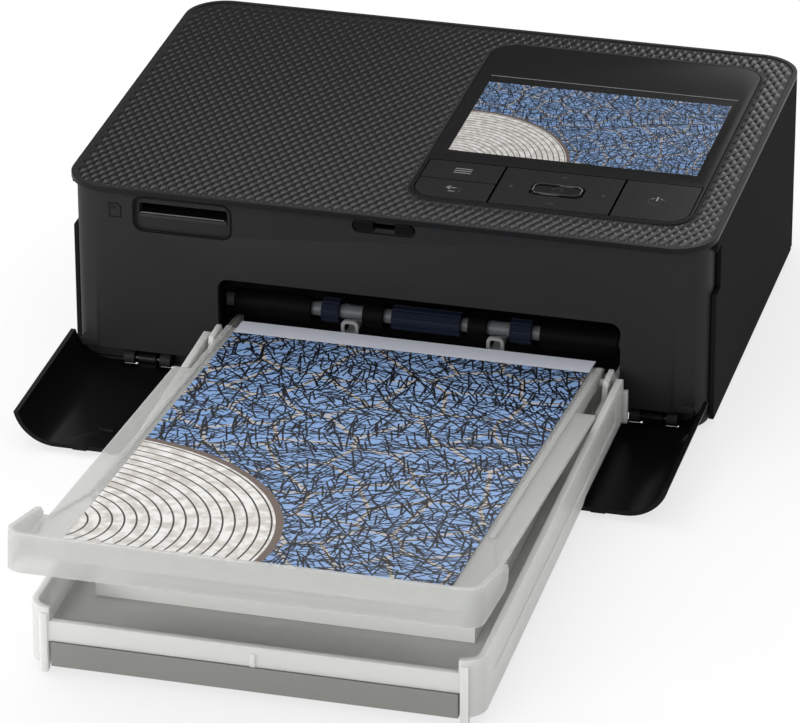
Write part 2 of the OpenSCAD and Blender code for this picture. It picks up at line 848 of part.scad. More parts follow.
module chassis_ties() {
    color("#9fa2a5") from_front() {
        block([plate_l, ties_y, 8], [plate_r, ties_y + 4, 16]);
        block([plate_l, 76, 6], [plate_r, 84, 10]);
        block([plate_l, ties_y - 3, 49], [plate_r, ties_y - 0.2, 50]);
        block([plate_l, 22, mouth_top + 2.4], [plate_r, 26, 40]);
        bar(plate_l - plate_t, plate_r + plate_t, head_hinge_y, head_hinge_z, head_pin_r);
    }
}

module shaft_bushes() {
    color("#d9d7cf") from_front() for (x = [plate_l - plate_t - 0.6, plate_r - 0.6])
        for (p = shaft_places)
            difference() {
                bar(x, x + plate_t + 1.2, p[0], p[1], bush_r - 0.02);
                bar(x - 1, x + plate_t + 3, p[0], p[1], shaft_r + pin_clear);
            }
}

// A gear with straight-flanked teeth, in its own plane
function polar(r, a) = [r * cos(a), r * sin(a)];
module gear(teeth) {
    pitch_r = gear_m * teeth / 2;
    step = 360 / teeth;
    polygon([for (i = [0:teeth - 1]) for (p = [[-gear_m * 1.15, -0.36], [-gear_m * 0.1, -0.235],
            [gear_m * 0.9, -0.1], [gear_m * 0.9, 0.1], [-gear_m * 0.1, 0.235],
            [-gear_m * 1.15, 0.36]]) polar(pitch_r + p[0], (i + p[1]) * step)]);
}

// A gear that meshes with the capstan's, on a line at the given angle from it
function mesh_turn(angle, teeth) = angle + 180 + 180 / teeth + angle * capstan_teeth / teeth;
function angle_to(y, z) = atan2(z - capstan_z, y - capstan_y);
module shaft_gear(y, z, teeth, turn) {
    across(gear_x, gear_x + gear_w) translate([y, z]) difference() {
        rotate(turn) gear(teeth);
        circle(shaft_r - eps);
    }
}

module exit_shaft() {
    color("#c9cbcc") from_front() {
        bar(gear_x, plate_r + 3, exit_y, exit_z, shaft_r);
        shaft_gear(exit_y, exit_z, exit_teeth, mesh_turn(angle_to(exit_y, exit_z), exit_teeth));
    }
}

// Ribbed rubber sleeves, each between two ends along X
module exit_rollers() {
    color("#1c2230") from_front() for (s = exit_sleeves) difference() {
        across(s[0], s[1]) translate([exit_y, exit_z]) difference() {
            circle(exit_r);
            circle(shaft_r + eps);
            for (a = [0:30:330]) rotate(a) translate([exit_r, 0]) circle(0.35);
        }
    }
}

// Black sleeves round the shaft between the rollers, each with an arm to the guide
module shaft_covers() {
    color("#0c0c0d") from_front() for (s = cover_ends)
        across(s[0], s[1]) translate([exit_y, exit_z]) difference() {
            union() {
                circle(exit_r - 0.1);
                translate([0, guide_z + 0.2 - exit_z]) square([3, exit_z - guide_z - 0.2]);
                translate([0, guide_z + 0.2 - exit_z]) square([guide_y - 0.02 - exit_y, 2.1]);
            }
            circle(shaft_r + 0.3);
        }
}

// Black bar behind the exit shaft, between the chassis plates
module paper_guide() {
    color("#0c0c0d") from_front() {
        difference() {
            block([plate_l, guide_y, guide_z], [plate_r, 24, guide_z + 2.4]);
            for (x = hook_x) block([x + 1, 17, guide_z + 0.6], [x + hook_w - 1, 22, guide_z + 1.4]);
        }
        for (x = [-30, -4, 22, 44])
            block([x, guide_y + 0.1, guide_z + 2.3], [x + 2.4, 23, guide_z + 4.5]);
    }
}

// Light loops that strip the print off the rollers, with a tongue into the guide
module paper_hooks() {
    color("#c4c5c6") from_front() for (x = hook_x) {
        difference() {
            translate([x, 9.4, 15.9]) rotate([90, 0, 0]) linear_extrude(1.1)
                rounded(hook_w, 4.8, 1.5);
            translate([x + 0.9, 10, 16.9]) rotate([90, 0, 0]) linear_extrude(3)
                rounded(hook_w - 1.8, 2.9, 0.8);
        }
        block([x + 1.1, 8.4, 15.95], [x + hook_w - 1.1, 17.55, 16.9]);
        block([x + 1.1, 16.5, 16.65], [x + hook_w - 1.1, 21.9, 17.35]);
    }
}

module capstan() {
    color("#b9bbbd") from_front() {
        bar(gear_x, plate_r + 3, capstan_y, capstan_z, shaft_r);
        bar(roller_l, roller_r, capstan_y, capstan_z, capstan_r);
        shaft_gear(capstan_y, capstan_z, capstan_teeth, 0);
    }
}

module pinch_roller() {
    color("#2b2b2d") from_front() {
        bar(plate_l - plate_t - 0.8, plate_r + 3, capstan_y, pinch_z, shaft_r);
        bar(roller_l, roller_r, capstan_y, pinch_z, pinch_r);
    }
}

module platen_roller() {
    color("#2b2b2d") from_front() {
        bar(gear_x, plate_r + 3, platen_y, platen_z, shaft_r);
        bar(roller_l, roller_r, platen_y, platen_z, platen_r);
        shaft_gear(platen_y, platen_z, platen_teeth,
            mesh_turn(angle_to(platen_y, platen_z), platen_teeth));
    }
}

module thermal_head() {
    color("#d8d4c8") from_front() {
        across(roller_l, roller_r) translate([head_y - head_d / 2, head_z])
            polygon([[0, 2.2], [head_d / 2 - 1, 0], [head_d / 2 + 1, 0], [head_d, 2.2],
                [head_d, 3.5], [0, 3.5]]);
    }
}

module heat_sink() {
    color("#b4b7b9") from_front() difference() {
        union() {
            block([roller_l, head_y - head_d / 2, head_z + 3.5],
                [roller_r, head_y + head_d / 2 + 8, head_z + 6]);
            for (y = [0:3:15]) block([roller_l + 8, head_y - head_d / 2 + y, head_z + 5.9],
                [roller_r - 8, head_y - head_d / 2 + y + 1.2, sink_top]);
            for (x = [roller_l, roller_r - 2]) across(x, x + 2) union() {
                translate([head_y - head_d / 2, head_z + 3.5]) square([16, 19]);
                translate([head_y, head_hinge_z - 3]) square([head_hinge_y - head_y, 6]);
                translate([head_hinge_y, head_hinge_z]) circle(3);
            }
        }
        bar(roller_l - 1, roller_r + 1, head_hinge_y, head_hinge_z, head_pin_r + pin_clear);
    }
}

module drive_motor() {
    color("#7f8285") from_front() {
        bar(gear_x - motor_l, gear_x - 1.5, pinion_y, pinion_z, 9);
        block([gear_x - 2.5, 35, pinion_z - 9], [gear_x - 1.5, pinion_y + 11, 48]);
        for (y = [37, 51]) bar(gear_x - 2, plate_l - plate_t, y, 46.2, 1.5);
    }
}

module motor_pinion() {
    color("#c8a64e") from_front() shaft_gear(pinion_y, pinion_z, pinion_teeth,
        mesh_turn(pinion_angle, pinion_teeth));
    color("#c8a64e") from_front() bar(gear_x - 0.8, gear_x + gear_w + 0.5, pinion_y, pinion_z, shaft_r);
}

// A round tube along X, open along its lower side
module ribbon_tube(y, r, side) {
    across(ink_l + 2, ink_r - 2) translate([y, spool_z]) difference() {
        circle(r + tube_t);
        circle(r);
        translate([side > 0 ? -3 : -9.5, -r - 3]) square([side > 0 ? 9 : 12.5, r]);
    }
}

module ink_cassette() {
    color("#c9cacb") from_front() {
        ribbon_tube(takeup_y, takeup_r, 1);
        ribbon_tube(supply_y, supply_r, -1);
        for (x = [ink_l, ink_r - 2]) across(x, x + 2) difference() {
            union() {
                for (p = [[takeup_y, takeup_r], [supply_y, supply_r]])
                    translate([p[0], spool_z]) circle(p[1] + tube_t);
                translate([takeup_y, spool_z - 4]) square([supply_y - takeup_y, 8]);
            }
            for (y = [takeup_y, supply_y]) translate([y, spool_z]) circle(2.5 + pin_clear);
        }
        block([ink_r - 1, 60, spool_z - 3], [ink_r + 6, 76, spool_z + 3]);
    }
}

module spool(y, wound) {
    bar(ink_l - 3, ink_r + 1.5, y, spool_z, 2.5);
    bar(roller_l, roller_r, y, spool_z, wound);
    for (x = [roller_l - 1.2, roller_r]) bar(x, x + 1.2, y, spool_z, wound + 1.2);
}

module supply_spool() { color("#e2e0da") from_front() spool(supply_y, supply_r - wound_in); }

module takeup_spool() { color("#e2e0da") from_front() spool(takeup_y, takeup_r - wound_in); }

module ink_ribbon() {
    low = path_z + 0.16;
    front = spool_z - takeup_r + wound_in - 0.4;
    back = spool_z - supply_r + wound_in - 0.4;
    color("#5a3a78") from_front() across(roller_l + 1, roller_r - 1)
        polygon([[takeup_y, front], [head_y - 1, low], [head_y + 1, low], [supply_y, back],
            [supply_y, back + ribbon_t], [head_y + 1, low + ribbon_t],
            [head_y - 1, low + ribbon_t], [takeup_y, front + ribbon_t]]);
}

module ink_lever() {
    color("#3f6fae") from_front() difference() {
        union() {
            block([plate_r + 2, lever_y - 5, lever_z - 2], [plate_r + 4, lever_y, lever_z + 4]);
            bar(plate_r + 2, plate_r + 5, lever_y, lever_z, lever_pin_r + 1.2);
        }
        bar(plate_r + 1, plate_r + 6, lever_y, lever_z, lever_pin_r + pin_clear);
    }
}

// Side wall of the tray outside the mouth, in (y, z)
module tray_side() {
    r = 1.5;
    difference() {
        polygon([[-tray_out + tray_r, tray_low], [-base_back, tray_rise - 1],
            [-base_back + 3, tray_rise], [-tray_back, tray_rise], [-tray_back, tray_top],
            [-tray_out + tray_r, tray_top]]);
        translate([-tray_back - r, tray_top - r]) difference() {
            square(r + 1);
            circle(r);
        }
    }
}

// The tray's plan outside the mouth
module tray_plan(g) {
    translate([tray_l + g, -tray_out + g]) union() {
        translate([tray_r - g, 0]) square([tray_w - 2 * tray_r, tray_out]);
        translate([0, tray_r - g]) square([tray_w - 2 * g, tray_out - tray_r - tray_back]);
        for (x = [tray_r - g, tray_w - tray_r - g])
            translate([x, tray_r - g]) circle(tray_r - g);
    }
}

module cassette_tray() {
    color("#d0d1ce") from_front() {
        difference() {
            for (x = [tray_l, tray_r_x - frost_t]) across(x, x + frost_t) tray_side();
            // shallow channel along the outside
            for (x = [tray_l - 1, tray_r_x - 0.5]) block([x, 13 - tray_out, 9.5], [x + 1.5, -12, 16]);
        }
        // rounded front
        difference() {
            translate([0, 0, tray_low]) linear_extrude(tray_top - tray_low) difference() {
                tray_plan(0);
                tray_plan(frost_t);
            }
            block([tray_l - 1, -tray_out + tray_r, 0], [tray_r_x + 1, 50, 60]);
            block([cass_x - base_w / 2 - 0.4, -tray_out - 1, 0],
                [cass_x + base_w / 2 + 0.4, -tray_out + 5, base_low + base_h + 0.4]);
            block([tray_l + tray_r, -tray_out - 1, tray_front_top],
                [tray_r_x - tray_r, -tray_out + 5, 60]);
        }
        // posts with small hooks beside the base, and a rib in the middle
        for (s = [-1, 1]) translate([cass_x + s * (base_w / 2 + 1.6), 0, 0]) {
            block([-1, -tray_out - 0.5, tray_low - 1], [1, frost_t - tray_out, tray_top - 1.5]);
            block([-1, -tray_out - 0.5, tray_low - 2], [1, 1.4 - tray_out, tray_low]);
        }
        block([cass_x - 0.5, -tray_out - 0.5, base_low + base_h + 0.5],
            [cass_x + 0.7, 1 - tray_out, tray_front_top - 2]);
        // floor
        translate([0, 0, floor_low]) linear_extrude(floor_top - floor_low) union() {
            intersection() {
                tray_plan(frost_t - eps);
                translate([tray_l, -tray_out]) square([tray_w, tray_out - tray_back]);
            }
            translate([cass_x - feed_w / 2, -tray_back - 5]) square([feed_w, tray_in + tray_back + 5]);
        }
        // feed end inside the mouth
        for (x = [cass_x - feed_w / 2, cass_x + feed_w / 2 - feed_t]) difference() {
            across(x, x + feed_t) polygon([[-tray_back - 16, floor_low], [tray_in, floor_low],
                [tray_in, 14], [6, feed_top], [0, feed_top], [-1.5, lid_z + 2.4],
                [-lid_y - 4, lid_z + 2.4], [-lid_y - 5.5, feed_top], [-tray_back - 16, feed_top]]);
            bar(x - 1, x + 3, -lid_y, lid_z, lid_pin_r + pin_clear);
        }
        for (s = [-1, 1]) translate([cass_x + s * (tray_w + feed_w) / 4, 0, 0])
            block([-feed_t - (tray_w - feed_w) / 4, -tray_back - frost_t, floor_low],
                [feed_t + (tray_w - feed_w) / 4, -tray_back, feed_top]);
    }
}

module cassette_base() {
    color("#7d7e7a") from_front() {
        block([cass_x - base_w / 2, -tray_out, base_low],
            [cass_x + base_w / 2, -base_back, base_low + 1.2]);
        block([cass_x - base_w / 2, -tray_out, base_low],
            [cass_x + base_w / 2, -tray_out + 1.6, base_low + base_h]);
        for (x = [-0.45, -0.15, 0.15, 0.45]) translate([cass_x + x * base_w - 0.6, 0, 0])
            block([0, -tray_out + 1, base_low + 1], [1.2, -base_back, floor_low]);
    }
}

module tilted_lid() {
    translate([cass_x, -lid_y, lid_z]) rotate([-lid_tilt, 0, 0]) children();
}

module cassette_lid() {
    color("#c3c4c1") from_front() tilted_lid() {
        translate([0, 0, lid_top - lid_t]) linear_extrude(lid_t) lid_plan();
        // low edges beside the print, and skirts below them
        for (x = [-lid_w / 2, lid_w / 2 - skirt_t])
            block([x, rim_back + cap_flare, lid_top - lid_t - skirt_h],
                [x + skirt_t, 3, lid_top + edge_h]);
        // ribs under the plate
        for (x = [-0.25, 0, 0.25]) translate([x * lid_w - 0.5, 0, 0])
            block([0, 12 - tray_out, lid_top - lid_t - 1.2], [1, -30, lid_top - lid_t + eps]);
        // rim: its side walls pass outside the tray, and fall away to the back
        intersection() {
            translate([0, -lid_len, rim_low]) linear_extrude(cap_h) rim_plan();
            across(-cap_w, cap_w) polygon([[-lid_len - 1, rim_low - 1],
                [rim_back - 5, rim_low - 1], [rim_back, rim_low + 1.5],
                [rim_back, lid_top + cap_rise_back - 2], [rim_back - 2, lid_top + cap_rise_back],
                [rim_r - lid_len, lid_top + cap_rise], [-lid_len - 1, lid_top + cap_rise]]);
        }
        // ribs and pegs inside the rim
        for (x = [-0.36, 0.3, 0.38]) translate([x * cap_w, rim_t - lid_len, 0])
            block([0, -eps, rim_low + 1], [1, 1.6, lid_top + 1]);
        for (s = [-1, 1]) translate([s * (cap_w / 2 - rim_t - 0.9), rim_t - lid_len + 3, lid_top])
            cylinder(h = cap_rise - 2.5, r = 0.9);
    }
}

// The lid's plan: it widens to the rim near its front
module lid_plan() {
    for (s = [0, 1]) mirror([s, 0]) polygon([[-eps, 3], [lid_w / 2, 3],
        [lid_w / 2, rim_back + cap_flare], [flare_x, rim_back], [cap_w / 2 - eps, rim_back],
        [cap_w / 2 - eps, rim_r - lid_len], [cap_w / 2 - rim_r, eps - lid_len],
        [-eps, eps - lid_len]]);
}

// The rim's plan: a front wall and two side walls, with rounded corners
module rim_plan() {
    translate([-cap_w / 2, 0]) difference() {
        union() {
            translate([rim_r, 0]) square([cap_w - 2 * rim_r, 10]);
            translate([0, rim_r]) square([cap_w, cap_len - rim_r]);
            for (x = [rim_r, cap_w - rim_r]) translate([x, rim_r]) circle(rim_r);
        }
        translate([rim_t, rim_t]) rounded(cap_w - 2 * rim_t, cap_len + rim_r, rim_r - rim_t);
    }
}

module lid_pins() {
    color("#c3c4c1") from_front() for (s = [-1, 1]) bar(
        cass_x + (s < 0 ? -feed_w / 2 + 0.2 : lid_w / 2),
        cass_x + (s < 0 ? -lid_w / 2 : feed_w / 2 - 0.2), -lid_y, lid_z, lid_pin_r);
}

module paper_stack() {
    color("#f2f2ee") from_front() translate([cass_x - sheet_w / 2, tray_in - 6 - sheet_l, floor_top])
        cube([sheet_w, sheet_l, stack_t]);
}

module print_sheet() {
    color("#9fb3cc") from_front() tilted_lid()
        translate([-sheet_w / 2, -print_front, lid_top]) cube([sheet_w, print_front + 8, print_t]);
}

lower_case();
rubber_feet();
front_shell();
rear_shell();
left_panel();
top_cover();
mouth_frame();
door_catch();
front_door();
front_door_pins();
ink_door();
ink_door_pins();
operation_panel();
screen_glass();
screen_module();
menu_key();
back_key();
pad_gimbal();
four_way_key();
ok_key();
power_key();
key_board();
card_socket();
main_board();
dc_jack();
usb_socket();
chassis_left();
chassis_right();
chassis_ties();
exit_shaft();
exit_rollers();
shaft_covers();
paper_guide();
paper_hooks();
shaft_bushes();
capstan();
pinch_roller();
platen_roller();
thermal_head();
heat_sink();
drive_motor();
motor_pinion();
ink_cassette();
supply_spool();
takeup_spool();
ink_ribbon();
ink_lever();
cassette_tray();
cassette_base();
cassette_lid();
lid_pins();
paper_stack();
print_sheet();
case_screws();
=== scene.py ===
"""Looks of a compact photo printer: satin black case with a knurled top, glossy
key panel, frosted paper cassette, and the roller mechanism in its mouth."""
import json
import math

import bmesh
import bpy
from mathutils import Matrix, Vector

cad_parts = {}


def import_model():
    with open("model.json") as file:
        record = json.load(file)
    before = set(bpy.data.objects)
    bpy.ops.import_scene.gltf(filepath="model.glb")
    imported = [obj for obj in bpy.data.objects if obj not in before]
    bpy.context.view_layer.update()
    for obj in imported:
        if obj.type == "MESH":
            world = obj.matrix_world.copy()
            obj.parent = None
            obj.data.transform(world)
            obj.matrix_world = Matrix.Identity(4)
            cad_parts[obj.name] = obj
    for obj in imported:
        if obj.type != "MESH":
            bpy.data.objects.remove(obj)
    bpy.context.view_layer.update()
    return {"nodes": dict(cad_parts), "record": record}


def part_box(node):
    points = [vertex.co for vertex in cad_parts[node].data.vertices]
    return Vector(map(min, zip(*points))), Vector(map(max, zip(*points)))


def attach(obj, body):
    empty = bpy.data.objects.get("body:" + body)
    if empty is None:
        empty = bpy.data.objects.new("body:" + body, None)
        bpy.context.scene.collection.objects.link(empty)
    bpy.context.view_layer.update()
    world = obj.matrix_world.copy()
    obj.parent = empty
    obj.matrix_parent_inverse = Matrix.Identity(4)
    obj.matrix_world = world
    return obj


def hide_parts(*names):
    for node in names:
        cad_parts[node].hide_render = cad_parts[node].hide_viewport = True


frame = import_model()
NODES = frame["nodes"]
MM = 0.001
# the front plane that the part's sizes are taken from, and the top of the cover
FRONT_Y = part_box("top_cover")[0].y
TOP_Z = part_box("top_cover")[1].z


def place(x, y, z):
    """A point given in millimetres from the middle of the case's front, on the table."""
    return Vector((x * MM, FRONT_Y + y * MM, z * MM))


# ---------------------------------------------------------------- materials


def colour(hex_code):
    """An sRGB hex colour as linear RGBA."""
    parts = [int(hex_code[i:i + 2], 16) / 255 for i in (1, 3, 5)]
    return [c / 12.92 if c <= 0.04045 else ((c + 0.055) / 1.055) ** 2.4 for c in parts] + [1.0]


def add(tree, kind, inputs=None, **settings):
    """Adds a node; inputs are set by name or number, as a value or a socket to link."""
    made = tree.nodes.new(kind)
    for key, value in settings.items():
        setattr(made, key, value)
    for key, value in (inputs or {}).items():
        if isinstance(value, bpy.types.NodeSocket):
            tree.links.new(value, made.inputs[key])
        else:
            made.inputs[key].default_value = value
    return made


def material(name):
    """A new material with its shader; returns the material, its tree and the shader."""
    made = bpy.data.materials.new(name)
    made.use_nodes = True
    tree = made.node_tree
    return made, tree, tree.nodes["Principled BSDF"]


def speckle(tree, grain_mm, detail=2.0):
    """Noise whose grains measure about grain_mm."""
    where = add(tree, "ShaderNodeTexCoord")
    return add(tree, "ShaderNodeTexNoise", {"Vector": where.outputs["Object"],
               "Scale": 1 / (grain_mm * MM), "Detail": detail}).outputs["Fac"]


def moulded(name, hex_code, roughness, grain_mm=0.35, bump_um=8, spread=0.06, specular=0.5):
    """Injection-moulded plastic: even colour, a fine eroded grain that breaks up the gloss. A
    real mould's grain, under 0.1 mm, is too fine to show, so it is drawn coarser."""
    made, tree, shader = material(name)
    grain = speckle(tree, grain_mm)
    slow = speckle(tree, 22, 3)
    low = [c * (1 - spread) for c in colour(hex_code)[:3]] + [1]
    high = [min(1, c * (1 + spread)) for c in colour(hex_code)[:3]] + [1]
    tint = add(tree, "ShaderNodeMix", {0: slow, 6: low, 7: high}, data_type="RGBA")
    tree.links.new(tint.outputs[2], shader.inputs["Base Color"])
    rough = add(tree, "ShaderNodeMapRange", {"Value": grain, "To Min": roughness - 0.05,
                "To Max": roughness + 0.05})
    tree.links.new(rough.outputs[0], shader.inputs["Roughness"])
    bump = add(tree, "ShaderNodeBump", {"Height": grain, "Distance": bump_um * 1e-6})
    tree.links.new(bump.outputs[0], shader.inputs["Normal"])
    shader.inputs["Specular IOR Level"].default_value = specular
    return made


def metal(name, hex_code, roughness, stretch):
    """Worked metal: fine lines along the way it was drawn, rolled or turned, which stretch
    gives. Real lines, about 0.05 mm apart, are too fine to show, so they are drawn coarser."""
    made, tree, shader = material(name)
    where = add(tree, "ShaderNodeTexCoord")
    lines = add(tree, "ShaderNodeMapping", {"Vector": where.outputs["Object"], "Scale": stretch})
    grain = add(tree, "ShaderNodeTexNoise", {"Vector": lines.outputs[0],
                "Scale": 1.5 / MM, "Detail": 3.0})
    rough = add(tree, "ShaderNodeMapRange", {"Value": grain.outputs["Fac"],
                "To Min": roughness - 0.08, "To Max": roughness + 0.1})
    tree.links.new(rough.outputs[0], shader.inputs["Roughness"])
    bump = add(tree, "ShaderNodeBump", {"Height": grain.outputs["Fac"], "Distance": 2e-6})
    tree.links.new(bump.outputs[0], shader.inputs["Normal"])
    shader.inputs["Base Color"].default_value = colour(hex_code)
    shader.inputs["Metallic"].default_value = 1.0
    return made


def frosted(name, hex_code, clear):
    """Natural polypropylene, spark-eroded: milky, light passes through and is spread. clear is
    the share of light that goes straight through the wall. The real grain is too fine to show,
    so it is drawn coarser."""
    made, tree, shader = material(name)
    cloud = speckle(tree, 30)
    grain = speckle(tree, 0.4)
    base = colour(hex_code)
    tint = add(tree, "ShaderNodeMix", {0: cloud, 6: [c * 0.96 for c in base[:3]] + [1],
               7: [min(1, c * 1.04) for c in base[:3]] + [1]}, data_type="RGBA")
    tree.links.new(tint.outputs[2], shader.inputs["Base Color"])
    bump = add(tree, "ShaderNodeBump", {"Height": grain, "Distance": 6e-6})
    tree.links.new(bump.outputs[0], shader.inputs["Normal"])
    shader.inputs["Roughness"].default_value = 0.42
    shader.inputs["IOR"].default_value = 1.49
    shader.inputs["Specular IOR Level"].default_value = 0.3
    shader.inputs["Subsurface Weight"].default_value = 1.0
    shader.inputs["Subsurface Radius"].default_value = (1.0, 1.0, 1.0)
    shader.inputs["Subsurface Scale"].default_value = 4 * MM
    shader.inputs["Alpha"].default_value = 1 - clear
    return made


# twigs: the gap as a share of the gap between boughs, the width as a share of the gap, and
# the colour
TWIG_LAYERS = ((0.62, 0.050, "#26262b"), (0.50, 0.060, "#1e1e23"), (0.42, 0.068, "#18181c"),
               (0.56, 0.054, "#222226"), (0.36, 0.080, "#18181c"), (0.46, 0.064, "#1c1c20"),
               (0.31, 0.090, "#1a1a1e"), (0.39, 0.074, "#202024"), (0.27, 0.095, "#18181c"),
               (0.34, 0.080, "#1c1c20"), (0.44, 0.066, "#1a1a1e"))


def twigs(tree, where, cell_mm, width, shift):
    """A mask of short straight strokes, one in each cell, each at its own angle. shift moves
    the cells, so that no two layers line up."""
    cells = add(tree, "ShaderNodeMapping", {"Vector": where, "Scale": [1 / (cell_mm * MM)] * 3,
                "Location": [shift, 0.37 * shift, 0.0]}).outputs[0]
    cell = add(tree, "ShaderNodeTexVoronoi", {"Vector": cells, "Scale": 1.0},
               voronoi_dimensions="2D")
    away = add(tree, "ShaderNodeVectorMath", {0: cells, 1: cell.outputs["Position"]},
               operation="SUBTRACT").outputs[0]
    chance = add(tree, "ShaderNodeSeparateColor", {0: cell.outputs["Color"]})
    turn = add(tree, "ShaderNodeMath", {0: chance.outputs[0], 1: math.pi},
               operation="MULTIPLY").outputs[0]
    laid = add(tree, "ShaderNodeVectorRotate", {"Vector": away, "Angle": turn},
               rotation_type="Z_AXIS")
    across = add(tree, "ShaderNodeSeparateXYZ", {0: laid.outputs[0]}).outputs["Y"]
    off = add(tree, "ShaderNodeMath", {0: across}, operation="ABSOLUTE").outputs[0]
    return add(tree, "ShaderNodeMapRange", {"Value": off, "From Min": width * 0.35,
               "From Max": width * 0.65, "To Min": 1.0, "To Max": 0.0}).outputs[0]


# in gaps between boughs: a bough's half width and the hill's brow; then furrows in a gap, and
# the share of each furrow that is dark
BOUGH, BROW, FURROWS, FURROW_DARK = 0.035, 0.12, 5.5, 0.16


def winter_picture(tree, bough_mm, middle, hill_mm):
    """A generic picture: bare twigs against a blue sky over a pale hill with furrows.
    bough_mm is the usual gap between two boughs, and hill_mm the hill's middle and radius."""
    where = add(tree, "ShaderNodeTexCoord")
    flat = add(tree, "ShaderNodeMapping", {"Vector": where.outputs["Object"],
               "Location": [-middle[0], -middle[1], 0.0]}).outputs[0]
    cloud = add(tree, "ShaderNodeTexNoise", {"Vector": flat, "Scale": 0.4 / (bough_mm * MM),
                "Detail": 1.0}).outputs["Fac"]
    picture = add(tree, "ShaderNodeMix", {0: cloud, 6: colour("#6c93c8"), 7: colour("#93aed5")},
                  data_type="RGBA").outputs[2]
    # boughs, broken where twigs hide them
    edge = add(tree, "ShaderNodeTexVoronoi", {"Vector": flat, "Scale": 1 / (bough_mm * MM)},
               feature="DISTANCE_TO_EDGE", voronoi_dimensions="2D").outputs["Distance"]
    bough = add(tree, "ShaderNodeMath", {0: edge, 1: BOUGH}, operation="LESS_THAN").outputs[0]
    picture = add(tree, "ShaderNodeMix", {0: bough, 6: picture, 7: colour("#b7afa8")},
                  data_type="RGBA").outputs[2]
    for cells, width, shade in TWIG_LAYERS:
        mask = twigs(tree, flat, bough_mm * cells, width, 40 * cells)
        picture = add(tree, "ShaderNodeMix", {0: mask, 6: picture, 7: colour(shade)},
                      data_type="RGBA").outputs[2]
    # the hill: a disc wider than the picture, with furrows round its middle
    away = add(tree, "ShaderNodeVectorMath", {0: flat,
               1: [hill_mm[0] * MM, hill_mm[1] * MM, 0.0]}, operation="SUBTRACT").outputs[0]
    level = add(tree, "ShaderNodeVectorMath", {0: away, 1: [1.0, 1.0, 0.0]},
                operation="MULTIPLY").outputs[0]
    span = add(tree, "ShaderNodeVectorMath", {0: level}, operation="LENGTH").outputs["Value"]
    inside = add(tree, "ShaderNodeMath", {0: span, 1: hill_mm[2] * MM},
                 operation="LESS_THAN").outputs[0]
    rings = add(tree, "ShaderNodeMath", {0: span, 1: FURROWS / (bough_mm * MM)},
                operation="MULTIPLY").outputs[0]
    furrow = add(tree, "ShaderNodeMath", {0: rings}, operation="FRACT").outputs[0]
    dark = add(tree, "ShaderNodeMath", {0: furrow, 1: FURROW_DARK},
               operation="LESS_THAN").outputs[0]
    mottle = add(tree, "ShaderNodeTexNoise", {"Vector": flat, "Scale": 5 / (bough_mm * MM),
                 "Detail": 4.0}).outputs["Fac"]
    patchy = add(tree, "ShaderNodeMapRange", {"Value": mottle, "From Min": 0.4,
                 "From Max": 0.6}).outputs[0]
    slope = add(tree, "ShaderNodeMix", {0: patchy, 6: colour("#c4bfb8"),
                7: colour("#e4e3e0")}, data_type="RGBA").outputs[2]
    slope = add(tree, "ShaderNodeMix", {0: dark, 6: slope, 7: colour("#3d3a38")},
                data_type="RGBA").outputs[2]
    brow = add(tree, "ShaderNodeMath", {0: span, 1: (hill_mm[2] - BROW * bough_mm) * MM},
               operation="GREATER_THAN").outputs[0]
    slope = add(tree, "ShaderNodeMix", {0: brow, 6: slope, 7: colour("#6b5d55")},
                data_type="RGBA").outputs[2]
    return add(tree, "ShaderNodeMix", {0: inside, 6: picture, 7: slope},
               data_type="RGBA").outputs[2]


def printed_sheet():
    """Dye-printed photo paper: the overcoat gives the picture a smooth gloss, and the white
    tear-off tab at the back is bare."""
    made, tree, shader = material("dye_printed_photo_paper")
    low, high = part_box("print_sheet")
    middle = (low + high) / 2
    picture = winter_picture(tree, 17, middle, (-60, -70, 62))
    # the tab is the last 9 mm of the sheet
    tab_y = high.y - 9.0 * MM
    where = add(tree, "ShaderNodeTexCoord")
    parts = add(tree, "ShaderNodeSeparateXYZ", {0: where.outputs["Object"]})
    tab = add(tree, "ShaderNodeMath", {0: parts.outputs["Y"], 1: tab_y},
              operation="GREATER_THAN").outputs[0]
    shown = add(tree, "ShaderNodeMix", {0: tab, 6: picture, 7: colour("#d9dde8")},
                data_type="RGBA").outputs[2]
    tree.links.new(shown, shader.inputs["Base Color"])
    shader.inputs["Roughness"].default_value = 0.32
    shader.inputs["Specular IOR Level"].default_value = 0.35
    return made


def display_glass():
    """A lit colour display bonded to its cover glass: the picture shines through."""
    made, tree, shader = material("bonded_display_glass")
    low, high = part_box("screen_glass")
    middle = (low + high) / 2
    picture = winter_picture(tree, 8.5, middle, (-34, -30, 34))
    tree.links.new(picture, shader.inputs["Emission Color"])
    shader.inputs["Emission Strength"].default_value = 0.85
    shader.inputs["Base Color"].default_value = colour("#0c0d10")
    shader.inputs["Roughness"].default_value = 0.3
    shader.inputs["Specular IOR Level"].default_value = 0.03
    return made


def circuit_board():
    """Solder mask over fibreglass: glossy green with copper tracks showing through. Real
    tracks are too fine to show, so they are drawn 1 mm apart."""
    made, tree, shader = material("solder_mask_board")
    where = add(tree, "ShaderNodeTexCoord")
    tracks = add(tree, "ShaderNodeTexBrick", {"Vector": where.outputs["Object"],
                 "Color1": colour("#1d4f2e"), "Color2": colour("#1a472a"),
                 "Mortar": colour("#3f7a45"), "Scale": 0.25 / MM, "Mortar Size": 0.03})
    tree.links.new(tracks.outputs["Color"], shader.inputs["Base Color"])
    shader.inputs["Roughness"].default_value = 0.3
    return made


# the front's fine eroded grain spreads light into an even satin sheen
ABS_BLACK = moulded("satin_abs_black", "#262626", 0.55, specular=0.12)
# the cover's lip is finer, so it looks deeper and a little glossier than the front
ABS_COVER = moulded("cover_abs_black", "#191919", 0.4, bump_um=3, specular=0.1)
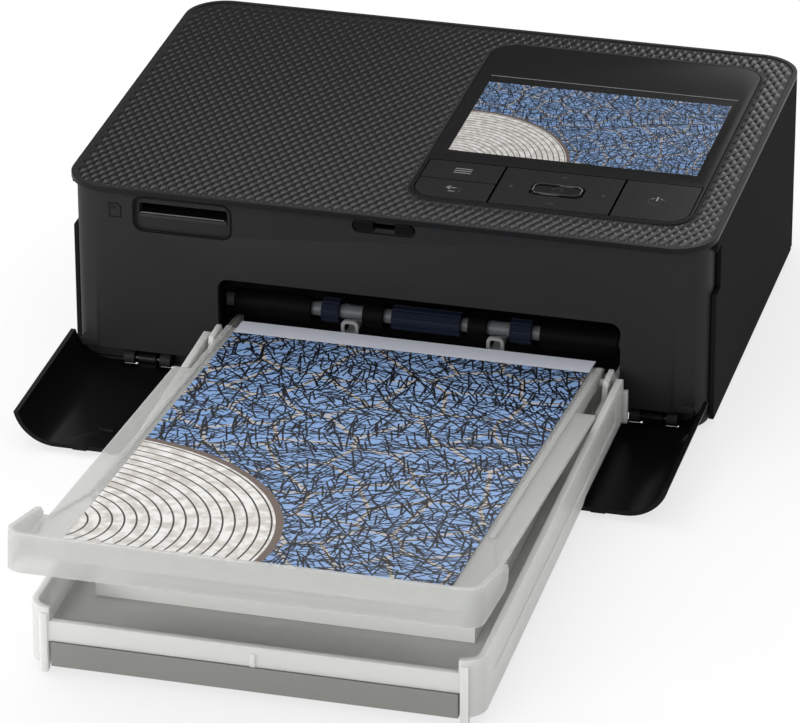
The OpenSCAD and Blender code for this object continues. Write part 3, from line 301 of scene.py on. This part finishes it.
# the knurl's faces come smooth from the mould, so each glints as it meets a lamp
KNURL = moulded("knurled_abs_black", "#0c0c0c", 0.2, bump_um=1, specular=0.15)
# the sides and back are eroded coarse, so they stay matt even where light grazes them; their
# colour is also painted darker than the front's, as painted shade for the right side, which
# faces away from the lamps
SIDE_BLACK_SHADED = moulded("eroded_abs_black_painted_shade", "#1c1c1b", 0.72, bump_um=12, specular=0.02)
# the door is polished, and shows soft blurred reflections
DOOR_BLACK = moulded("gloss_abs_black", "#0d0d0d", 0.3, bump_um=2, specular=0.12)
# the mouth's lining is matt, and its colour is painted darker than the case's: painted shade, so
# that the mouth looks deep
MOUTH_SHADE_BLACK = moulded("matt_black_painted_mouth_shade", "#09090a", 0.6, specular=0.06)
# lacquer flows out nearly smooth and mirrors the lamps with soft edges
PANEL = moulded("gloss_lacquered_black", "#121212", 0.2, grain_mm=0.8, bump_um=0.4,
                specular=0.06)
# the keys are a little less smooth than the panel, so that they stand out from it
KEY = moulded("satin_key_black", "#131313", 0.26, grain_mm=0.6, bump_um=0.8, specular=0.06)
# a polished bead, which glints all along
POLISHED = moulded("polished_abs_black", "#0c0c0c", 0.08, bump_um=0.2, specular=0.5)
# pad-printed ink is flat and dry beside the gloss: grey, black, and dim grey for the arrows
SYMBOL = moulded("pad_printed_grey", "#77787a", 0.5, bump_um=1, specular=0.1)
SYMBOL_DARK = moulded("pad_printed_black", "#121212", 0.5, bump_um=1, specular=0.1)
SYMBOL_DIM = moulded("pad_printed_dim_grey", "#3c3d3f", 0.5, bump_um=1, specular=0.1)
# the tray's thick walls are milky, and glow where light comes through; their colour is set paler
# than the lid's, painted light that brightens the tray's inside where the lid shades it
FROSTED = frosted("frosted_polypropylene", "#d0d1ce", clear=0.12)
# the lid's plate is thin, so what lies under it shows dimly
FROSTED_THIN = frosted("thin_frosted_polypropylene", "#bcbdba", clear=0.45)
# the tray's base is plain grey, with a low sheen
GREY_BASE = moulded("grey_abs", "#777874", 0.48, specular=0.4)
# acetal looks waxy: pale hooks, bushes and spools, a grey shaft and a blue lever
HOOK = moulded("natural_acetal", "#8e8f90", 0.4, specular=0.3)
SHAFT = moulded("grey_acetal", "#5c5e60", 0.4, specular=0.3)
BLUE = moulded("blue_acetal", "#3a66a8", 0.35)
# matt rubber takes the light in, with hardly a highlight
RUBBER = moulded("matt_rubber", "#141414", 0.75, grain_mm=0.5, bump_um=15, specular=0.3)
# silicone is softer and smoother, with blue in its dark
SLEEVE = moulded("navy_silicone_rubber", "#161c2c", 0.6, grain_mm=0.5, bump_um=10,
                 specular=0.1)
# grinding leaves bright streaks along a shaft
STEEL = metal("ground_steel", "#c4c6c8", 0.28, (0.02, 1, 1))
# oil-blackening leaves a dark, dull gleam
DARK_STEEL = metal("blackened_steel", "#4a4a4c", 0.42, (0.05, 1, 1))
# zinc on rolled sheet is a cool, cloudy silver
PLATE = metal("zinc_plated_sheet", "#a8aaad", 0.35, (1, 0.05, 1))
# nickel on a drawn can is darker and glossier than the zinc
MOTOR = metal("nickel_plated_can", "#8c8e91", 0.3, (0.05, 1, 1))
# cut brass is bright, with a yellow glint
BRASS = metal("turned_brass", "#c5a354", 0.3, (0.05, 1, 1))
# the die leaves pale lines along the heat sink
ALUMINIUM = metal("extruded_aluminium", "#b9bcc0", 0.38, (0.03, 1, 1))
# glaze shines like glass over the cream ceramic
CERAMIC = moulded("glazed_ceramic", "#d8d3c5", 0.2, bump_um=1)
BOARD = circuit_board()
# glass fibre leaves nylon dull, with a fine tooth
SOCKET = moulded("glass_filled_nylon", "#151515", 0.5, grain_mm=0.2)
# film is thin and smooth, so the ribbon shines wet
FILM = moulded("dyed_polyester_film", "#4a2c5e", 0.12, bump_um=1, spread=0.2)
# styrene's shell is an even dark grey with a soft sheen
INK_GREY = moulded("dark_grey_styrene", "#3b3c3e", 0.42)
# coated paper is bright and even, with a low sheen
PAPER = moulded("photo_paper", "#f0f0ec", 0.4, grain_mm=0.3, bump_um=2, spread=0.01)
PRINT = printed_sheet()
DISPLAY = display_glass()

# each node's finish
FINISH = {
    "lower_case": ABS_BLACK, "rubber_feet": RUBBER, "front_shell": ABS_BLACK,
    "rear_shell": SIDE_BLACK_SHADED, "left_panel": SIDE_BLACK_SHADED, "top_cover": ABS_COVER,
    "mouth_frame": MOUTH_SHADE_BLACK, "door_catch": PANEL, "front_door": DOOR_BLACK,
    "front_door_pins": DARK_STEEL, "ink_door": SIDE_BLACK_SHADED, "ink_door_pins": DARK_STEEL,
    "operation_panel": PANEL, "screen_glass": DISPLAY, "screen_module": PLATE,
    "menu_key": KEY, "back_key": KEY, "four_way_key": KEY, "ok_key": PANEL, "power_key": KEY,
    "pad_gimbal": RUBBER, "key_board": BOARD, "card_socket": SOCKET, "main_board": BOARD,
    "dc_jack": SOCKET, "usb_socket": PLATE, "chassis_left": PLATE, "chassis_right": PLATE,
    "chassis_ties": PLATE, "exit_shaft": SHAFT, "exit_rollers": SLEEVE,
    "shaft_covers": MOUTH_SHADE_BLACK, "paper_guide": MOUTH_SHADE_BLACK, "paper_hooks": HOOK,
    "shaft_bushes": HOOK, "capstan": STEEL, "pinch_roller": RUBBER, "platen_roller": RUBBER,
    "thermal_head": CERAMIC, "heat_sink": ALUMINIUM, "drive_motor": MOTOR,
    "motor_pinion": BRASS, "ink_cassette": INK_GREY, "supply_spool": HOOK,
    "takeup_spool": HOOK, "ink_ribbon": FILM, "ink_lever": BLUE, "cassette_tray": FROSTED,
    "cassette_base": GREY_BASE, "cassette_lid": FROSTED_THIN, "lid_pins": FROSTED,
    "paper_stack": PAPER, "print_sheet": PRINT, "case_screws": STEEL,
}
for node, finish in FINISH.items():
    NODES[node].data.materials.clear()
    NODES[node].data.materials.append(finish)

# the body that each node rides on
BODY_OF = {n: b for b, ns in frame["record"]["behaviour"]["bodies"].items() for n in ns}


# ---------------------------------------------------------------- pieces


def linked(name, data):
    """A new object in the scene, at the origin."""
    made = bpy.data.objects.new(name, data)
    bpy.context.scene.collection.objects.link(made)
    return made


def mesh_of(work, name):
    """The mesh of a bmesh, which is then freed."""
    mesh = bpy.data.meshes.new(name)
    work.to_mesh(mesh)
    work.free()
    return mesh


def smooth(mesh):
    """Shades a mesh smooth."""
    for face in mesh.polygons:
        face.use_smooth = True


def object_from(mesh, name, finish, body):
    """A finished piece from its mesh, riding on a body."""
    made = linked(name, mesh)
    mesh.materials.clear()
    mesh.materials.append(finish)
    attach(made, body)
    return made


def on_node(mesh, name, finish, node):
    """A finished piece that rides on a node's body."""
    return object_from(mesh, name, finish, BODY_OF[node])


def settled(made):
    """Applies what modifiers an object has and gives its final mesh."""
    graph = bpy.context.evaluated_depsgraph_get()
    mesh = bpy.data.meshes.new_from_object(made.evaluated_get(graph))
    bpy.data.objects.remove(made)
    return mesh


# an edge that turns more than this is rounded, and the rest of the surface is smooth
SHARP = math.radians(40)


def softened(node, width_mm):
    """A copy of a CAD node with its edges rounded as a mould leaves them, in its place."""
    mesh = NODES[node].data.copy()
    # the loose triangles are merged, and flat ones joined into whole faces
    work = bmesh.new()
    work.from_mesh(mesh)
    bmesh.ops.remove_doubles(work, verts=work.verts, dist=2e-6)
    bmesh.ops.dissolve_limit(work, angle_limit=math.radians(0.6), verts=work.verts,
                             edges=work.edges)
    work.to_mesh(mesh)
    work.free()
    draft = linked(node + "_draft", mesh)
    bevel = draft.modifiers.new("edges", "BEVEL")
    bevel.width = width_mm * MM
    bevel.segments = 2
    bevel.limit_method = "ANGLE"
    bevel.angle_limit = SHARP
    bevel.harden_normals = True
    bevel.use_clamp_overlap = True
    smooth(mesh)
    mesh.set_sharp_from_angle(angle=SHARP)
    made = on_node(settled(draft), node + "_moulded", FINISH[node], node)
    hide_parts(node)


# the nodes with moulded edges, and how wide each edge's rounding is in mm
EDGE_MM = {
    "front_shell": 0.25, "left_panel": 0.25, "ink_door": 0.25, "front_door": 0.3,
    "top_cover": 0.3, "operation_panel": 0.15, "menu_key": 0.12, "back_key": 0.12,
    "four_way_key": 0.15, "ok_key": 0.4, "power_key": 0.12, "cassette_tray": 0.4,
    "cassette_base": 0.3, "cassette_lid": 0.4, "paper_hooks": 0.35, "rear_shell": 0.25,
    "mouth_frame": 0.3, "door_catch": 0.3, "shaft_covers": 0.25, "paper_guide": 0.25,
}
for node, width in EDGE_MM.items():
    softened(node, width)


def plate(work, low, high):
    """A closed slab between two rings of points with the same number of corners."""
    rings = [[work.verts.new(point) for point in ring] for ring in (low, high)]
    work.faces.new(rings[0])
    work.faces.new(rings[1])
    for i in range(len(low)):
        j = (i + 1) % len(low)
        work.faces.new((rings[0][i], rings[0][j], rings[1][j], rings[1][i]))


# from a hinge's middle to each of its ears, and from a pin's end to the hinge's middle
EAR_OFF = 5.2
PIN_HALF = 6.7
# a web's outline and its two faces, from the pin's middle under an ear
WEB = ((-2, -3.2), (2, -3.2), (2, 1.3), (-2, 1.3))
WEB_Z = (-3.4, -2.9)


def door_webs():
    """Thin webs that close the front door's slots below the hinge ears."""
    work = bmesh.new()
    low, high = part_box("front_door_pins")
    middle_y = ((low.y + high.y) / 2 - FRONT_Y) / MM
    middle_z = (low.z + high.z) / 2 / MM
    for middle_x in (low.x / MM + PIN_HALF, high.x / MM - PIN_HALF):
        for x in (middle_x - EAR_OFF, middle_x + EAR_OFF):
            under, over = ([place(x + dx, middle_y + dy, middle_z + dz) for dx, dy in WEB]
                           for dz in WEB_Z)
            plate(work, under, over)
    bmesh.ops.recalc_face_normals(work, faces=work.faces)
    on_node(mesh_of(work, "front_door_webs"), "front_door_webs", DOOR_BLACK, "front_door")


door_webs()


# ---------------------------------------------------------------- knurled top

# a pyramid's width, depth and height, and how small it may be where an edge cuts the field
KNURL_W = 2.75
KNURL_D = 5.3
KNURL_H = 0.35
KNURL_FITS = (1, 0.85, 0.7, 0.55, 0.4)
# the plain lip round the cover and the cover's corners, then the same for the key panel
LIP = 1.4
COVER_R = 12
PANEL_LIP = 0.5
PANEL_R = 8.3


def inside_rounded(x, y, x0, y0, w, d, r):
    """Whether (x, y) is inside a rectangle with rounded corners."""
    dx = max(x0 + r - x, x - (x0 + w - r), 0)
    dy = max(y0 + r - y, y - (y0 + d - r), 0)
    return dx * dx + dy * dy <= r * r and x0 <= x <= x0 + w and y0 <= y <= y0 + d


def knurl_points():
    """Where the pyramids stand, and how much smaller each is where an edge cuts the field."""
    low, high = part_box("top_cover")
    half, depth = high.x / MM, (high.y - low.y) / MM
    panel_low, panel_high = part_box("operation_panel")
    x0, y0 = panel_low.x / MM - PANEL_LIP, (panel_low.y - FRONT_Y) / MM - PANEL_LIP
    w = (panel_high.x - panel_low.x) / MM + 2 * PANEL_LIP
    d = (panel_high.y - panel_low.y) / MM + 2 * PANEL_LIP

    def in_field(x, y):
        """Whether (x, y) is in the knurled field."""
        return (inside_rounded(x, y, -half + LIP, LIP, 2 * half - 2 * LIP, depth - 2 * LIP,
                               COVER_R - LIP)
                and not inside_rounded(x, y, x0, y0, w, d, PANEL_R))

    points, fits = [], []
    for row in range(int(depth / KNURL_D * 2) + 2):
        y = row * KNURL_D / 2
        for column in range(-int(half / KNURL_W) - 2, int(half / KNURL_W) + 2):
            x = (column + row % 2 / 2) * KNURL_W
            for fit in KNURL_FITS:
                dx, dy = KNURL_W / 2 * fit, KNURL_D / 2 * fit
                if all(in_field(*p) for p in ((x - dx, y), (x + dx, y), (x, y - dy),
                                              (x, y + dy))):
                    points.append(place(x, y, TOP_Z / MM - KNURL_H))
                    fits.append(fit)
                    break
    return points, fits


def knurl_tree():
    """Stands a low diamond pyramid on each point of the mesh it is given."""
    tree = bpy.data.node_groups.new("knurl", "GeometryNodeTree")
    ends = tree.interface
    ends.new_socket("Geometry", in_out="INPUT", socket_type="NodeSocketGeometry")
    for label in ("Width", "Depth", "Height"):
        ends.new_socket(label, in_out="INPUT", socket_type="NodeSocketFloat")
    ends.new_socket("Geometry", in_out="OUTPUT", socket_type="NodeSocketGeometry")
    given = add(tree, "NodeGroupInput")
    half_w = add(tree, "ShaderNodeMath", {0: given.outputs["Width"], 1: 0.5},
                 operation="MULTIPLY").outputs[0]
    half_d = add(tree, "ShaderNodeMath", {0: given.outputs["Depth"], 1: 0.5},
                 operation="MULTIPLY").outputs[0]
    full = add(tree, "ShaderNodeCombineXYZ", {0: half_w, 1: half_d, 2: given.outputs["Height"]})
    fit = add(tree, "GeometryNodeInputNamedAttribute", {"Name": "fit"}, data_type="FLOAT")
    size = add(tree, "ShaderNodeVectorMath", {0: full.outputs[0],
               "Scale": fit.outputs["Attribute"]}, operation="SCALE")
    pyramid = add(tree, "GeometryNodeMeshCone", {"Vertices": 4, "Radius Top": 0.0,
                  "Radius Bottom": 1.0, "Depth": 1.0}, fill_type="NONE")
    stood = add(tree, "GeometryNodeInstanceOnPoints", {"Points": given.outputs["Geometry"],
                "Instance": pyramid.outputs["Mesh"], "Scale": size.outputs[0]})
    real = add(tree, "GeometryNodeRealizeInstances", {"Geometry": stood.outputs[0]})
    dressed = add(tree, "GeometryNodeSetMaterial", {"Geometry": real.outputs[0],
                  "Material": KNURL})
    add(tree, "NodeGroupOutput", {0: dressed.outputs[0]})
    return tree


def grown(points, fits, tree, sizes, name):
    """The mesh that a node tree makes on these points."""
    mesh = bpy.data.meshes.new(name)
    mesh.from_pydata(points, [], [])
    mesh.attributes.new("fit", "FLOAT", "POINT").data.foreach_set("value", fits)
    draft = linked(name + "_draft", mesh)
    grow = draft.modifiers.new("grow", "NODES")
    grow.node_group = tree
    for item in tree.interface.items_tree:
        if item.in_out == "INPUT" and item.name in sizes:
            grow[item.identifier] = sizes[item.name]
    return settled(draft)


knurl = grown(*knurl_points(), knurl_tree(),
              {"Width": KNURL_W * MM, "Depth": KNURL_D * MM, "Height": KNURL_H * MM}, "knurl")
# the mould's pyramids are worn round, so each catches the light along one edge
smooth(knurl)
object_from(knurl, "cover_knurl", KNURL, "case")


# ---------------------------------------------------------------- symbols on the keys

# how far a printed line stands up
INK_T = 0.02


def flat_mesh(name, strips, level, width, upright=False):
    """Flat printed lines: each strip is a list of points (x, y) in mm, drawn at one width on a
    level plane, or of points (x, z) on an upright one."""
    work = bmesh.new()
    for points in strips:
        for a, b in zip(points, points[1:]):
            a2, b2 = Vector(a), Vector(b)
            along = (b2 - a2).normalized() * width / 2
            side = Vector((-along.y, along.x))
            corners = [a2 - along - side, b2 + along - side, b2 + along + side,
                       a2 - along + side]
            under, over = ([place(p.x, level - up, p.y) if upright
                            else place(p.x, p.y, level + up) for p in corners]
                           for up in (0, INK_T))
            plate(work, under, over)
    bmesh.ops.recalc_face_normals(work, faces=work.faces)
    return mesh_of(work, name)


def arc(cx, cy, r, a0, a1, steps):
    """Points along an arc, with its angles in degrees."""
    return [(cx + r * math.cos(math.radians(a0 + (a1 - a0) * i / steps)),
             cy + r * math.sin(math.radians(a0 + (a1 - a0) * i / steps)))
            for i in range(steps + 1)]


def centre_of(node):
    """The middle of a node from above, in the same millimetres as place()."""
    low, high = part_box(node)
    return (low.x + high.x) / 2 / MM, ((low.y + high.y) / 2 - FRONT_Y) / MM


key_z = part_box("menu_key")[1].z / MM
mx, my = centre_of("menu_key")
bx, by = centre_of("back_key")
ox, oy = centre_of("ok_key")
px, py = centre_of("power_key")
# how far the arrows stand from the middle of the four-way key, and half an arrow's width
ARROW_X, ARROW_Y, ARROW_HALF = 12.8, 8.5, 0.6
# each symbol's name, key, finish, line width and lines
MARKS = (
    ("menu_mark", "menu_key", SYMBOL, 0.45,
     [[(mx - 2.2, my + d), (mx + 2.2, my + d)] for d in (-1.1, 0.2, 1.5)]),
    ("back_mark", "back_key", SYMBOL, 0.4,
     [[(bx - 2, by + 0.9), (bx + 1, by + 0.9)] + arc(bx + 1, by - 0.2, 1.1, 90, -90, 8)
      + [(bx - 0.8, by - 1.3)], [(bx - 1, by + 1.8), (bx - 2, by + 0.9), (bx - 1, by)]]),
    ("ok_mark", "ok_key", SYMBOL, 0.45, [arc(ox, oy, 1.3, 0, 360, 20)]),
    ("power_mark", "power_key", SYMBOL, 0.5,
     [arc(px, py, 2.0, 125, 415, 18), [(px, py + 0.5), (px, py + 2.6)]]),
    ("arrow_marks", "four_way_key", SYMBOL_DIM, 0.4,
     [[(ox + dx - ARROW_HALF * dy / ARROW_Y, oy + dy - ARROW_HALF * dx / ARROW_X),
       (ox + dx * 1.06, oy + dy * 1.06),
       (ox + dx + ARROW_HALF * dy / ARROW_Y, oy + dy + ARROW_HALF * dx / ARROW_X)]
      for dx, dy in ((ARROW_X, 0), (-ARROW_X, 0), (0, ARROW_Y), (0, -ARROW_Y))]),
)
for name, node, finish, width, strips in MARKS:
    on_node(flat_mesh(name, strips, key_z, width), name, finish, node)


# ---------------------------------------------------------------- beads and edges


def rod(name, points, radius_mm, finish, node, cyclic=True):
    """A round bead along points given as vectors, on a node."""
    curve = bpy.data.curves.new(name, "CURVE")
    curve.dimensions = "3D"
    curve.bevel_depth = radius_mm * MM
    curve.bevel_resolution = 3
    curve.use_fill_caps = not cyclic
    line = curve.splines.new("POLY")
    line.points.add(len(points) - 1)
    for spot, point in zip(line.points, points):
        spot.co = (*point, 1)
    line.use_cyclic_u = cyclic
    mesh = settled(linked(name + "_draft", curve))
    smooth(mesh)
    on_node(mesh, name, finish, node)


# the polished frame round the OK key: in from its sides, off its corners, up from its top,
# and the bead's radius
FRAME_IN, FRAME_CUT, FRAME_UP, FRAME_R = 0.5, 1.3, 0.05, 0.38
ok_low, ok_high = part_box("ok_key")
x0, x1 = ok_low.x / MM + FRAME_IN, ok_high.x / MM - FRAME_IN
y0, y1 = (ok_low.y - FRONT_Y) / MM + FRAME_IN, (ok_high.y - FRONT_Y) / MM - FRAME_IN
rod("ok_key_frame", [place(x, y, key_z + FRAME_UP) for x, y in (
    (x0 + FRAME_CUT, y0), (x1 - FRAME_CUT, y0), (x1, y0 + FRAME_CUT), (x1, y1 - FRAME_CUT),
    (x1 - FRAME_CUT, y1), (x0 + FRAME_CUT, y1), (x0, y1 - FRAME_CUT), (x0, y0 + FRAME_CUT))],
    FRAME_R, POLISHED, "ok_key")

# the card recess: its middle and size, how far back the shell's face is, and half the slot
CARD_X, CARD_Z, CARD_W, CARD_H = -56.75, 49.9, 28.5, 10.8
SHELL_Y = 1.5
SLOT_HALF = 11.9
# a bead round the recess: in from its sides, and round its corners
BEAD_IN, BEAD_R = 0.5, 2.5
side, rise = CARD_W / 2 - BEAD_IN - BEAD_R, CARD_H / 2 - BEAD_IN - BEAD_R
bead = [point for cx, cz, start in ((side, rise, 0), (-side, rise, 90), (-side, -rise, 180),
                                    (side, -rise, 270))
        for point in arc(CARD_X + cx, CARD_Z + cz, BEAD_R, start, start + 90, 6)]
rod("card_recess_bead", [place(x, SHELL_Y + 0.15, z) for x, z in bead], 0.22, DOOR_BLACK,
    "front_shell")
# the rounded lip of the slot
rod("card_slot_lip", [place(CARD_X + x, SHELL_Y + 0.9, CARD_Z + 0.25)
                      for x in (-SLOT_HALF, SLOT_HALF)], 0.5, DARK_STEEL, "card_socket",
    cyclic=False)
# a plain sign of a card beside the recess: its outline with one corner cut, and two contacts
SIGN = [[(-77.6, 48.2), (-74.4, 48.2), (-74.4, 51.4), (-75.3, 52.3), (-77.6, 52.3),
         (-77.6, 48.2)], [(-76.8, 51.5), (-76.8, 50.7)], [(-76, 51.5), (-76, 50.7)]]
on_node(flat_mesh("card_sign", SIGN, SHELL_Y, 0.3, upright=True), "card_sign", SYMBOL_DARK,
        "front_shell")

# a painted highlight: a flat grey line for the light caught on the edge where the display's
# cover glass begins, this far behind the picture
HIGHLIGHT_BACK = 4.3
glass_low, glass_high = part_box("screen_glass")
highlight_y = (glass_high.y - FRONT_Y) / MM + HIGHLIGHT_BACK
edge = [(glass_low.x / MM - 0.3, highlight_y), (glass_high.x / MM + 1, highlight_y)]
on_node(flat_mesh("glass_edge_painted_highlight", [edge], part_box("operation_panel")[1].z / MM, 0.3),
        "glass_edge_painted_highlight", SYMBOL, "operation_panel")

# how far the lid is raised, and a flange's outline and faces, from the lid's hinge
LID_TILT = 6.1
FLANGE = ((52.9, -30), (58.4, -30), (58.4, -140), (58, -140), (52.9, -121))
FLANGE_Z = (1.25, 2.5)


def lid_flanges():
    """Thin flanges that carry the lid's plate out over the tray's side walls."""
    hinge = next(j for j in frame["record"]["behaviour"]["joints"] if j["name"] == "lid_hinge")
    turn = Matrix.Rotation(-math.radians(LID_TILT), 4, "X")
    work = bmesh.new()
    for side in (-1, 1):
        under, over = ([Vector(hinge["pos_m"]) + turn @ (Vector((side * x, y, z)) * MM)
                        for x, y in FLANGE] for z in FLANGE_Z)
        plate(work, under, over)
    bmesh.ops.recalc_face_normals(work, faces=work.faces)
    on_node(mesh_of(work, "lid_flanges"), "lid_flanges", FROSTED_THIN, "cassette_lid")


lid_flanges()


# ---------------------------------------------------------------- floor, light, camera

# how bright the studio's far walls look, where the floor ends, and how much light they give
WALL_GREY = 0.18
WALL_LIGHT = 0.8
# how far the floor reaches, how far it lies under the object, and how white it is where seen
FLOOR_REACH, FLOOR_Z = 6.0, -0.0002
FLOOR_WHITE = 0.72


def seen_ray(tree):
    """1 for what the camera sees, straight or in gloss or glass, and 0 for light on things."""
    path = add(tree, "ShaderNodeLightPath")
    seen = add(tree, "ShaderNodeMath", {0: path.outputs["Is Camera Ray"],
               1: path.outputs["Is Glossy Ray"]}, operation="ADD")
    seen = add(tree, "ShaderNodeMath", {0: seen.outputs[0],
               1: path.outputs["Is Transmission Ray"]}, operation="ADD", use_clamp=True)
    return seen.outputs[0]


def floor():
    """The studio's pale floor, which keeps the object's shadow."""
    mesh = bpy.data.meshes.new("floor")
    corners = [(x * FLOOR_REACH, y * FLOOR_REACH, FLOOR_Z)
               for x, y in ((-1, -1), (1, -1), (1, 1), (-1, 1))]
    mesh.from_pydata(corners, [], [(0, 1, 2, 3)])
    made = linked("floor", mesh)
    paint, tree, shader = material("studio_floor")
    shader.inputs["Base Color"].default_value = (0.82, 0.82, 0.82, 1)
    shader.inputs["Roughness"].default_value = 0.9
    shader.inputs["Specular IOR Level"].default_value = 0.0
    # seen directly, the floor is nearly white and still keeps the object's shadow
    glow = add(tree, "ShaderNodeEmission", {"Color": (1, 1, 1, 1), "Strength": 1.0})
    share = add(tree, "ShaderNodeMath", {0: seen_ray(tree), 1: FLOOR_WHITE},
                operation="MULTIPLY")
    both = add(tree, "ShaderNodeMixShader", {0: share.outputs[0], 1: shader.outputs[0],
               2: glow.outputs[0]})
    tree.links.new(both.outputs[0], tree.nodes["Material Output"].inputs["Surface"])
    mesh.materials.append(paint)


def world():
    """Even light from all round."""
    sky = bpy.data.worlds.new("studio")
    bpy.context.scene.world = sky
    sky.use_nodes = True
    tree = sky.node_tree
    tree.nodes.clear()
    strength = add(tree, "ShaderNodeMapRange", {"Value": seen_ray(tree), "To Min": WALL_LIGHT,
                   "To Max": WALL_GREY})
    light = add(tree, "ShaderNodeBackground", {"Color": (1, 1, 1, 1),
                "Strength": strength.outputs[0]})
    add(tree, "ShaderNodeOutputWorld", {0: light.outputs[0]})


def softbox(name, spot, size, power, aim=(0, 0, 0.03)):
    """A soft lamp, aimed at the object's middle unless it is told otherwise."""
    lamp = bpy.data.lights.new(name, "AREA")
    lamp.shape = "RECTANGLE"
    lamp.size, lamp.size_y = size
    lamp.energy = power
    made = linked(name, lamp)
    made.location = spot
    made.rotation_euler = (Vector(aim) - Vector(spot)).to_track_quat("-Z", "Y").to_euler()


floor()
world()
# each lamp's place and size in metres, its power in watts, and what it is aimed at
softbox("key_softbox", (-0.5, 0.25, 0.9), (0.8, 0.8), 3.5)
softbox("fill_softbox", (-0.5, -1.0, 0.35), (0.8, 0.5), 7)
softbox("back_softbox", (0.0, 0.72, 0.62), (0.7, 0.25), 1.5)
softbox("panel_softbox", (0.12, 0.83, 0.36), (0.36, 0.2), 0.65, (0.05, 0.12, 0.06))

# the camera, found by fitting the case's edges in the photograph
AZIMUTH, ELEVATION, ROLL = 14.665, 26.933, -0.163
DISTANCE, FOCAL_PX, FRAME_W = 1529.611, 5621.493, 800
SENSOR_W = 36
TARGET = place(8.067, -10.599, 20)


def camera():
    """The camera where the photograph was taken from, with its frame."""
    az, el, roll = (math.radians(a) for a in (AZIMUTH, ELEVATION, ROLL))
    back = Vector((math.sin(az) * math.cos(el), -math.cos(az) * math.cos(el), math.sin(el)))
    right = (-back).cross(Vector((0, 0, 1))).normalized()
    up = right.cross(-back)
    right, up = (right * math.cos(roll) + up * math.sin(roll),
                 up * math.cos(roll) - right * math.sin(roll))
    lens = bpy.data.cameras.new("camera")
    lens.sensor_width = SENSOR_W
    lens.lens = FOCAL_PX / FRAME_W * SENSOR_W
    lens.clip_start, lens.clip_end = 0.1, 20
    made = linked("camera", lens)
    turn = Matrix((right, up, back)).transposed().to_4x4()
    turn.translation = TARGET + back * DISTANCE * MM
    made.matrix_world = turn
    bpy.context.scene.camera = made


camera()
bpy.context.scene.view_settings.view_transform = "Standard"
